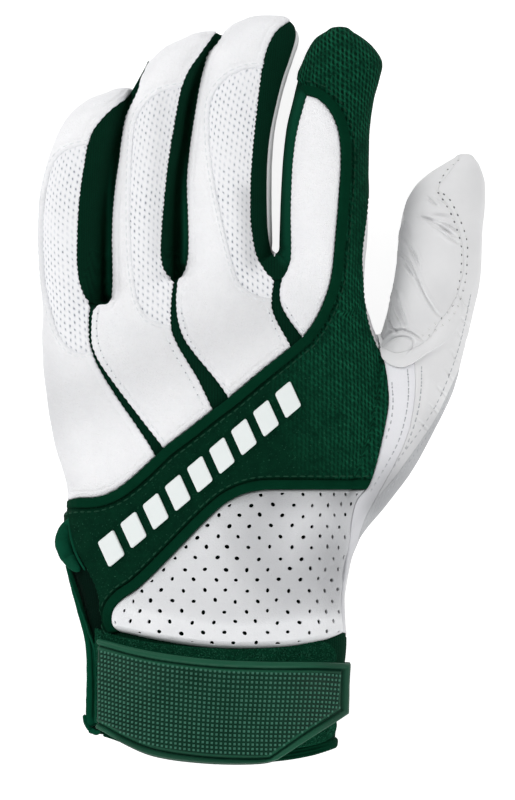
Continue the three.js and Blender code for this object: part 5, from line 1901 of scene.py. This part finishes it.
def strap_angles():
    """Angles round the cuff spaced evenly along the strap's outer face, with their arc lengths."""
    fine = np.linspace(angle_at(STRAP_ROOT_PX), angle_at(STRAP_TIP_PX - 14), 600)
    way, _ = palm.lifted(np.full(600, STRAP_MID_Y), fine, np.full(600, STRAP_LIFT))
    return fine, reach_of(way)


strap_fine, strap_arc = strap_angles()


def strap_place(arc, y, lift):
    """Points over the cuff; near its root the strap dives in under the slit's binding."""
    angle = np.interp(arc, strap_arc, strap_fine)
    base, _ = palm.lifted(y, angle, np.zeros_like(y))
    start, end = x_at(np.array(STRAP_DIP_PX))
    share = np.clip((base[:, 0] - start) / (end - start), 0, 1)
    dip = STRAP_DIP * (1 - smooth_share(share))
    return palm.lifted(y, angle, lift - dip)


def strap_patch(lift, step):
    arcs = np.arange(0, strap_arc[-1] + step, step)
    rows = np.arange(y_at(768), y_at(630), step)
    arc, y = np.meshgrid(arcs, rows)
    points, normal = strap_place(arc.ravel(), y.ravel(), np.full(arc.size, lift))
    n, m = len(rows), len(arcs)
    corner = (np.arange(n - 1)[:, None] * m + np.arange(m - 1)).ravel()
    faces = np.vstack([
        np.column_stack([corner, corner + 1, corner + m + 1]),
        np.column_stack([corner, corner + m + 1, corner + m]),
    ])
    return Patch(points, faces, {"normal": normal, "arc": arc.ravel(), "row": y.ravel()})


def strap_layer(name, ring, shrink, lift, wall, material, nodes, slot, step, shape=None):
    patch = strap_patch(lift, step)
    patch.values["depth"] = inside(patch.points[:, :2], ring) - shrink
    patch = patch.split("depth", 0.0, keep_low=False).split("depth", STRAP_ROLL)
    d = np.maximum(patch.values["depth"], 0)
    normal = patch.values["normal"]
    curl = np.maximum(STRAP_ROLL - d, 0)
    height = np.sqrt(np.maximum(STRAP_ROLL**2 - curl**2, 0)) - STRAP_ROLL
    if shape:
        height = height + shape(patch)
    outer = patch.points + normal * height[:, None]
    inner = patch.points - normal * wall
    measure = (patch.values["arc"], patch.values["row"])
    field = inside(patch.points[:, :2], strap_field) if shape else d
    shade = strap_shade if shape else None
    return closed_piece(
        name, patch, outer, inner, material, nodes, slot, field, measure, body=None, shade=shade,
    )


def strap_shape(patch):
    """A round frame with a narrow channel inside it, about a flat field."""
    p = patch.points[:, :2]
    field = inside(p, strap_field)
    out = inside(p, strap_outer)
    share = np.clip(out / np.maximum(out - field, 0.05), 0, 1)
    frame_rise = np.where(field < 0, 0.85 * np.sqrt(np.maximum(np.sin(math.pi * share), 0)), 0)
    line_on_frame = -0.12 * hump(share - 0.72, 0.08) * (field < 0)
    ridge = 0.3 * hump(field - 1.15, 0.45) * (field > 0)
    groove = dent(field - 0.3, 0.35, 0.5)
    return frame_rise + line_on_frame + ridge + groove + 0.05 * bumps(patch.points, 6.0, 61)


strap_pieces = [
    strap_layer(
        "strap_face", strap_outer, 0.0, STRAP_LIFT, 0.75, GREEN_RUBBER, ["strap_border", "strap_grip_face"],
        "green_rubber", 0.3, shape=strap_shape,
    ),
    strap_layer(
        "strap_backing_felt", strap_outer, -0.25, STRAP_BACK_LIFT, 1.1, GREEN_BINDING, ["strap_backing"],
        "green_binding", 0.6,
    ),
]
hook_ring = outline([[215, 668], [329, 670]], [[329, 670], [329, 718], [270, 752]], [215, 752])
strap_pieces.append(
    strap_layer(
        "strap_hooks", hook_ring, 0.3, STRAP_HOOK_LIFT, 0.7, GREEN_PILE, ["strap_hook_patch"], "green_pile",
        0.8,
    )
)


# Small things that repeat, set out by Geometry Nodes


def geometry_group(name, inputs):
    tree = bpy.data.node_groups.new(name, "GeometryNodeTree")
    tree.interface.new_socket("Geometry", in_out="INPUT", socket_type="NodeSocketGeometry")
    for label, kind, value in inputs:
        socket = tree.interface.new_socket(label, in_out="INPUT", socket_type=kind)
        if value is not None:
            socket.default_value = value
    tree.interface.new_socket("Geometry", in_out="OUTPUT", socket_type="NodeSocketGeometry")
    return tree, tree.nodes.new("NodeGroupInput").outputs, tree.nodes.new("NodeGroupOutput").inputs[0]


def named_vector(tree, name):
    return put(
        tree, "GeometryNodeInputNamedAttribute", {"Name": name}, data_type="FLOAT_VECTOR",
    ).outputs["Attribute"]


def set_out(tree, given, points, out):
    """Instances of an item on points, turned to lie along `way` with `up` upwards, slightly uneven."""
    turned = put(tree, "FunctionNodeAlignRotationToVector", {"Vector": named_vector(tree, "up")}, axis="Z")
    turned = put(
        tree, "FunctionNodeAlignRotationToVector",
        {"Rotation": turned.outputs[0], "Vector": named_vector(tree, "way")},
        axis="X", pivot_axis="Z",
    )
    uneven = uneven_size(tree, given)
    size = put(
        tree, "ShaderNodeVectorMath", {0: given["Size"], "Scale": uneven}, operation="SCALE",
    ).outputs[0]
    item = put(tree, "GeometryNodeObjectInfo", {"Object": given["Item"]})
    spread = put(
        tree, "GeometryNodeInstanceOnPoints",
        {
            "Points": points, "Instance": item.outputs["Geometry"], "Rotation": turned.outputs[0],
            "Scale": size,
        },
    )
    real = put(tree, "GeometryNodeRealizeInstances", {0: spread.outputs[0]})
    paint = put(tree, "GeometryNodeSetMaterial", {0: real.outputs[0], "Material": given["Material"]})
    tree.links.new(paint.outputs[0], out)


def uneven_size(tree, given):
    node = put(tree, "FunctionNodeRandomValue", {"Seed": given["Seed"]}, data_type="FLOAT")
    tree.links.new(minus(1.0, given["Unevenness"]), node.inputs[2])
    tree.links.new(plus(1.0, given["Unevenness"]), node.inputs[3])
    return node.outputs[1]


COMMON = [
    ("Item", "NodeSocketObject", None), ("Material", "NodeSocketMaterial", None),
    ("Size", "NodeSocketVector", (1.0, 1.0, 1.0)), ("Unevenness", "NodeSocketFloat", 0.0),
    ("Seed", "NodeSocketInt", 1),
]


def points_group():
    """An item on every vertex."""
    tree, given, out = geometry_group("items on points", COMMON)
    points = put(tree, "GeometryNodeMeshToPoints", {0: given["Geometry"]})
    set_out(tree, given, points.outputs[0], out)
    return tree


def seam_group():
    """An item at every step along lines of edges, such as the stitches of a seam."""
    tree, given, out = geometry_group("items along lines", [*COMMON, ("Pitch", "NodeSocketFloat", 0.0025)])
    curves = put(tree, "GeometryNodeMeshToCurve", {0: given["Geometry"]})
    lengths = {"Curve": curves.outputs[0], "Length": given["Pitch"]}
    even = put(tree, "GeometryNodeResampleCurve", lengths, mode="LENGTH")
    tangent = tree.nodes.new("GeometryNodeInputTangent").outputs[0]
    kept = put(
        tree, "GeometryNodeStoreNamedAttribute", {0: even.outputs[0], "Name": "way"},
        data_type="FLOAT_VECTOR", domain="POINT",
    )
    tree.links.new(tangent, kept.inputs["Value"])
    points = put(tree, "GeometryNodeCurveToPoints", {0: kept.outputs[0]}, mode="EVALUATED")
    set_out(tree, given, points.outputs[0], out)
    return tree


ON_POINTS, ON_LINES = points_group(), seam_group()


def repeat(name, group, points, edges, vectors, values, body="glove"):
    """Runs a repeating group over points or lines and keeps its result as one plain mesh."""
    mesh = bpy.data.meshes.new(name)
    mesh.from_pydata((np.asarray(points) * MM).tolist(), [tuple(e) for e in edges], [])
    for key, rows in vectors.items():
        mesh.attributes.new(key, "FLOAT_VECTOR", "POINT").data.foreach_set(
            "vector", np.asarray(rows, np.float32).ravel(),
        )
    source = new_object(name + "_source", mesh)
    modifier = source.modifiers.new("repeat", "NODES")
    modifier.node_group = group
    for item in group.interface.items_tree:
        if item.item_type == "SOCKET" and item.in_out == "INPUT" and item.name in values:
            modifier[item.identifier] = values[item.name]
    source.update_tag()
    graph = bpy.context.evaluated_depsgraph_get()
    result = bpy.data.meshes.new_from_object(source.evaluated_get(graph), depsgraph=graph)
    result.name = name
    drop(source)
    for key in vectors:
        if key in result.attributes:
            result.attributes.remove(result.attributes[key])
    return settled(new_object(name, result), body, ())


def lathe(name, profile, sides, turn=0.0):
    """A small closed item from rings of (radius, height) about Z, in units that Size turns to metres."""
    angle = np.linspace(0, 2 * np.pi, sides, endpoint=False) + turn
    rings = [np.column_stack([r * np.cos(angle), r * np.sin(angle), np.full(sides, z)]) for r, z in profile]
    points = np.vstack([*rings, [[0, 0, profile[0][1]]], [[0, 0, profile[-1][1]]]])
    mesh = new_mesh(name, points, tube_faces(len(profile), sides))
    mesh.polygons.foreach_set("use_smooth", np.ones(len(mesh.polygons), bool))
    return new_object(name, mesh)


# A stitch lies along X and dips at both ends; a needle hole is a shallow dish, coloured dark as the painted
# shade inside the hole; a peg is a small blunt block
turns = np.linspace(-0.95, 0.95, 7) * math.pi / 2
stitch_item = lathe("stitch", [(max(math.cos(t), 0.05) ** 0.7 * 0.5, math.sin(t) * 0.5) for t in turns], 6)
stitch_mesh = stitch_item.data
co = np.empty(len(stitch_mesh.vertices) * 3, np.float32)
stitch_mesh.vertices.foreach_get("co", co)
co = co.reshape(-1, 3)[:, [2, 1, 0]] * [1, 1, -1]
co[:, 2] -= 1.2 * co[:, 0] ** 2
stitch_mesh.vertices.foreach_set("co", co.astype(np.float32).ravel())
stitch_mesh.update()
peg_item = lathe("peg", [(0.78, -0.6), (0.76, 0.3), (0.66, 0.48), (0.52, 0.52)], 4, turn=math.pi / 4)
peg_item.data.set_sharp_from_angle(angle=math.radians(35))
pile_item = lathe("pile", [(0.5, -0.5), (0.45, 0.2), (0.1, 0.6)], 4)
hole_item = lathe("needle", [(0.5, -0.3), (0.5, 0.05), (0.4, 0.18), (0.2, 0.24)], 8)
helpers = [stitch_item, peg_item, pile_item, hole_item]


def dropped(points2, skin, lift=0.0):
    """Where upright rays through 2D points first meet a piece, or several joined by "+", and the normals."""
    hits, ups = [], []
    for x, y in points2:
        found = [
            skins[one].ray_cast(Vector((x, y, 90.0)), Vector((0, 0, -1)))[:2] for one in skin.split("+")
        ]
        found = [pair for pair in found if pair[0] is not None]
        if found:
            place, normal = max(found, key=lambda pair: pair[0].z)
            hits.append(np.array(place) + np.array(normal) * lift)
            ups.append(np.array(normal))
    return np.array(hits), np.array(ups)


def sewn(name, rows, item, size, pitch, material, lift=0.05, start=0.0):
    """Items such as stitches along rows of a piece's name and points; the first stands `start` mm along."""
    points, ups, edges = [], [], []
    for skin, way in rows:
        if start:
            reach = reach_of(way)
            fresh = np.arange(start, reach[-1], 0.3)
            way = np.column_stack([np.interp(fresh, reach, way[:, k]) for k in range(2)])
        hits, up = dropped(way, skin, lift)
        base = len(points)
        jump = np.linalg.norm(np.diff(hits, axis=0), axis=1)
        points += hits.tolist()
        ups += up.tolist()
        edges += [(base + i, base + i + 1) for i in range(len(hits) - 1) if jump[i] < 3]
    values = {
        "Item": item, "Material": material, "Size": tuple(v * MM for v in size), "Unevenness": 0.08,
        "Seed": 3, "Pitch": pitch * MM,
    }
    repeat(name, ON_LINES, points, edges, {"up": ups}, values)


def shifted(way, distance):
    """A line moved sideways to its left."""
    step = np.gradient(way, axis=0)
    step /= np.maximum(np.linalg.norm(step, axis=1, keepdims=True), 1e-9)
    return way + np.column_stack([-step[:, 1], step[:, 0]]) * distance


WHITE_ROWS_PX = [
    (
        "ring_back_panel",
        [[99, 310], [97, 327], [99.5, 345], [106, 361], [114, 374], [133, 400], [148, 420], [163, 439]],
    ),
    (
        "middle_back_panel",
        [[181.5, 310], [184.5, 325], [189.5, 339], [199, 353], [210, 367], [221, 381], [229, 390]],
    ),
    ("middle_back_panel", [[268, 310], [275, 328], [283, 345]]),
    ("ring_back_panel", [[169, 340], [175, 354], [185, 371], [195, 389], [206, 411]]),
    ("index_back_insert", [[285, 305], [293, 318], [302, 330]]),
]
THUMB_ROWS_PX = [
    [
        [440, 192], [448.7, 199.2], [456.4, 213.8], [462.9, 228.7], [466.7, 244], [466.5, 262.6],
        [465, 279.8], [460.9, 296], [454, 312.9], [448.7, 320], [437.2, 328.7], [427.7, 336.4],
    ],
    [
        [435.5, 189.7], [444.6, 203.5], [451.4, 216.3], [456.6, 230.4], [460.5, 245], [460.9, 262],
        [459.5, 278.3], [455.5, 295.2], [449.7, 310], [444, 315.8], [432, 326], [421.7, 335.5],
    ],
    [[437.5, 186.3], [443.2, 175.2], [448.3, 168.3], [458.6, 159.7]],
]
white_rows = [(skin, line(px)) for skin, px in WHITE_ROWS_PX]
for skin, window in (
    ("pinky_back_panel", PINKY_MESH_PX), ("ring_back_panel", RING_MESH_PX),
    ("middle_back_panel", MIDDLE_MESH_PX),
):
    ring = outline(window)
    turn = np.sign(np.cross(ring, np.roll(ring, -1, 0)).sum())
    white_rows.append((skin, shifted(ring, -turn * 1.3)))
knuckle_rows = list(white_rows[:len(WHITE_ROWS_PX)])
sewn("white_stitches", white_rows, stitch_item, (1.7, 0.5, 0.4), 2.4, WHITE_THREAD)
sewn(
    "white_needle_holes", knuckle_rows, hole_item, (0.6, 0.42, 0.16), 2.4, SOFT_HOLE_SHADE,
    start=1.2,
)
THUMB_SKINS = "thumb_front_panel+thumb_outer_panel+thumb_web_binding"
thumb_rows = [(THUMB_SKINS, line(px)) for px in THUMB_ROWS_PX]
sewn(
    "thumb_stitches", thumb_rows, stitch_item, (1.7, 0.45, 0.3), 2.67, GREY_THREAD,
    lift=-0.02,
)
sewn(
    "thumb_needle_holes", thumb_rows, hole_item, (0.8, 0.5, 0.18), 2.67, NEEDLE_HOLE_SHADE,
    lift=0.02, start=1.33,
)
cover_rows = [("mesh_cover", shifted(line(VENT_TOP_PX), -4.1)), ("mesh_cover", shifted(upper_seam, -4.3))]
sewn("cover_stitches", cover_rows, stitch_item, (1.9, 0.5, 0.4), 2.6, GREEN_THREAD)

PEG_STEP, PEG_ROW, PEG_WIDE, PEG_TALL = 1.45, 1.37, 0.64, 0.85
PEG_FIRST_ARC, PEG_FIRST_DROP, PEG_MARGIN, PEG_FROM_PX = 1.0, 2.0, 1.15, 100
peg_steps = PEG_STEP * (0.8 + 0.2 * np.clip(np.arange(80) / 20, 0, 1))
peg_arcs = PEG_FIRST_ARC + np.cumsum(peg_steps)
peg_arcs = peg_arcs[peg_arcs < strap_arc[-1]]
peg_drops = np.arange(0.0, 34.0, PEG_ROW)
arc, drop_down = (v.ravel() for v in np.meshgrid(peg_arcs, peg_drops))
plan = strap_place(arc, np.full(len(arc), STRAP_MID_Y), np.full(len(arc), STRAP_LIFT))[0]
field_top = line(STRAP_FIELD_PX[0])
peg_y = np.interp(plan[:, 0], field_top[:, 0], field_top[:, 1]) - PEG_FIRST_DROP - drop_down
peg_places, peg_ups = strap_place(arc, peg_y, np.full(len(arc), STRAP_LIFT))
side_step = strap_place(arc + 0.2, peg_y, np.full(len(arc), STRAP_LIFT))[0] - peg_places
keep = (inside(peg_places[:, :2], strap_field) > PEG_MARGIN) & (peg_places[:, 0] > x_at(PEG_FROM_PX))
pegs = repeat(
    "strap_pegs", ON_POINTS, peg_places[keep], [], {"up": peg_ups[keep], "way": side_step[keep]},
    {
        "Item": peg_item, "Material": GREEN_DOTS, "Size": (PEG_WIDE * MM, PEG_WIDE * MM, PEG_TALL * MM),
        "Unevenness": 0.05, "Seed": 5,
    },
    body=None,
)
strap_pieces.append(pegs)
SIDE_ROWS_PX = [
    (
        "thumb_outer_panel",
        [[470, 296], [466, 315], [459, 345], [450, 372], [438, 400], [424, 424], [405, 450], [384, 478]],
    ),
    (
        "thumb_outer_panel",
        [[421, 368], [420.5, 388], [418, 408], [412, 430], [403, 452], [390, 472], [380, 485]],
    ),
    (
        "wrist_side_panel",
        [[407, 371], [408, 388], [407, 404], [404, 421], [398, 441], [389, 459], [371, 490]],
    ),
    ("wrist_side_panel", [[391.5, 384], [392.5, 402], [390.5, 421], [386, 437]]),
    ("thumb_side_mesh+thumb_outer_panel", [[447, 399], [436, 422], [420, 446], [405, 467], [388, 490]]),
]
side_rows = [(skin, line(px)) for skin, px in SIDE_ROWS_PX]
sewn("side_stitches", side_rows, stitch_item, (1.5, 0.4, 0.3), 2.2, SIDE_THREAD, lift=-0.02)
sewn(
    "side_needle_holes", side_rows, hole_item, (0.7, 0.45, 0.18), 2.2, SOFT_HOLE_SHADE, lift=0.02,
    start=1.1,
)

# Loops of the closure's pile, scattered over the patch
PILE_TOP, TUFT_MARGIN, TUFT_WIDE, TUFT_TALL = 1.0, 0.2, 0.3, 0.6
patch = form.near(loop_depth(form), 0.0)
pick = rng.integers(0, len(patch.faces), TUFTS)
share = rng.dirichlet((1, 1, 1), len(pick))
tuft_at = (patch.points[patch.faces[pick]] * share[..., None]).sum(1)
tuft_up = normals_of(patch.points, patch.faces)[patch.faces[pick, 0]]
tuft_at = tuft_at + tuft_up * PILE_TOP
lean = rng.normal(size=(len(pick), 3))
well_in = np.full(len(pick), 5.0)
tuft_in = loop_depth(Patch(tuft_at, patch.faces[:0], {"top": well_in, "hem": well_in})) > TUFT_MARGIN
repeat(
    "loop_pile", ON_POINTS, tuft_at[tuft_in], [],
    {"up": (tuft_up + lean * 0.5)[tuft_in], "way": lean[tuft_in]},
    {
        "Item": pile_item, "Material": PILE_TIP, "Size": (TUFT_WIDE * MM, TUFT_WIDE * MM, TUFT_TALL * MM),
        "Unevenness": 0.4, "Seed": 9,
    },
)
# The strap's pieces have their placing worked into their meshes, in metres
for piece in strap_pieces:
    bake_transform(piece)

for helper in helpers:
    drop(helper)


# Camera, light and floor


def camera():
    data = bpy.data.cameras.new("camera")
    height = PHOTO_HEIGHT * MM_Y * MM
    data.sensor_width = 36.0
    data.lens = data.sensor_width * (CAMERA_DISTANCE - CAMERA_FOCUS) / height
    data.clip_start, data.clip_end = 0.1, 20.0
    obj = new_object("camera", data)
    x, y = places([[PHOTO_WIDTH / 2, PHOTO_HEIGHT / 2]])[0] * MM
    obj.location = (x, y, CAMERA_DISTANCE)
    bpy.context.scene.camera = obj


def lamp(name, place, target, size, power):
    data = bpy.data.lights.new(name, "AREA")
    data.shape, data.size, data.size_y, data.energy = "RECTANGLE", size[0], size[1], power
    obj = new_object(name, data)
    obj.location = place
    obj.rotation_euler = (Vector(target) - Vector(place)).to_track_quat("-Z", "Y").to_euler()


def floor():
    points = np.array([[-1, -1, 0], [1, -1, 0], [1, 1, 0], [-1, 1, 0]]) * FLOOR_HALF - [0, 0, FLOOR_DROP]
    mesh = new_mesh("floor", points, np.array([[0, 1, 2, 3]]))
    material = bpy.data.materials.new("floor")
    material.use_nodes = True
    tree = material.node_tree
    tree.nodes.remove(tree.nodes["Principled BSDF"])
    path = tree.nodes.new("ShaderNodeLightPath").outputs
    seen = plus(path["Is Camera Ray"], path["Is Glossy Ray"], clamp=True)
    seen = plus(seen, path["Is Transmission Ray"], clamp=True)
    paint = mixed(seen, FLOOR_HIDDEN, FLOOR_SEEN)
    plain = put(tree, "ShaderNodeBsdfDiffuse", {"Color": paint}).outputs[0]
    glow = times(seen, FLOOR_GLOW)
    white = put(tree, "ShaderNodeEmission", {"Color": (1, 1, 1, 1), "Strength": glow}).outputs[0]
    both = put(tree, "ShaderNodeAddShader", {0: plain, 1: white}).outputs[0]
    tree.links.new(both, tree.nodes["Material Output"].inputs[0])
    mesh.materials.append(material)
    new_object("floor", mesh)


def sky():
    """Light from all round, stronger from the sides than from straight above."""
    world = bpy.data.worlds.new("studio")
    bpy.context.scene.world = world
    world.use_nodes = True
    tree = world.node_tree
    way = put(
        tree, "ShaderNodeSeparateXYZ", {0: tree.nodes.new("ShaderNodeTexCoord").outputs["Generated"]},
    ).outputs
    high = raised(larger(way[2], 0.0), 1.5)
    level = times_plus(high, SKY_TOP - SKY_SIDE, SKY_SIDE)
    tree.nodes["Background"].inputs["Color"].default_value = (1, 1, 1, 1)
    tree.links.new(level, tree.nodes["Background"].inputs["Strength"])


# In metres, and the lamps in watts
CAMERA_DISTANCE, CAMERA_FOCUS = 4.0, 0.018
FLOOR_HALF, FLOOR_DROP = 3.0, 0.0002
FLOOR_HIDDEN, FLOOR_SEEN = (0.75, 0.75, 0.75, 1), (0.5, 0.5, 0.5, 1)
SKY_SIDE, SKY_TOP, FLOOR_GLOW = 0.45, 0.22, 0.88
camera()
floor()
sky()
lamp("key", (-0.92, 0.84, 0.75), (0, 0.03, 0), (1.1, 1.1), 13)
lamp("low", (-0.1, -1.3, 0.6), (0, 0, 0), (1.2, 0.8), 12)
lamp("right", (1.3, 0.3, 0.8), (0, 0, 0), (0.9, 0.9), 8)
bpy.context.scene.view_settings.view_transform = "Standard"
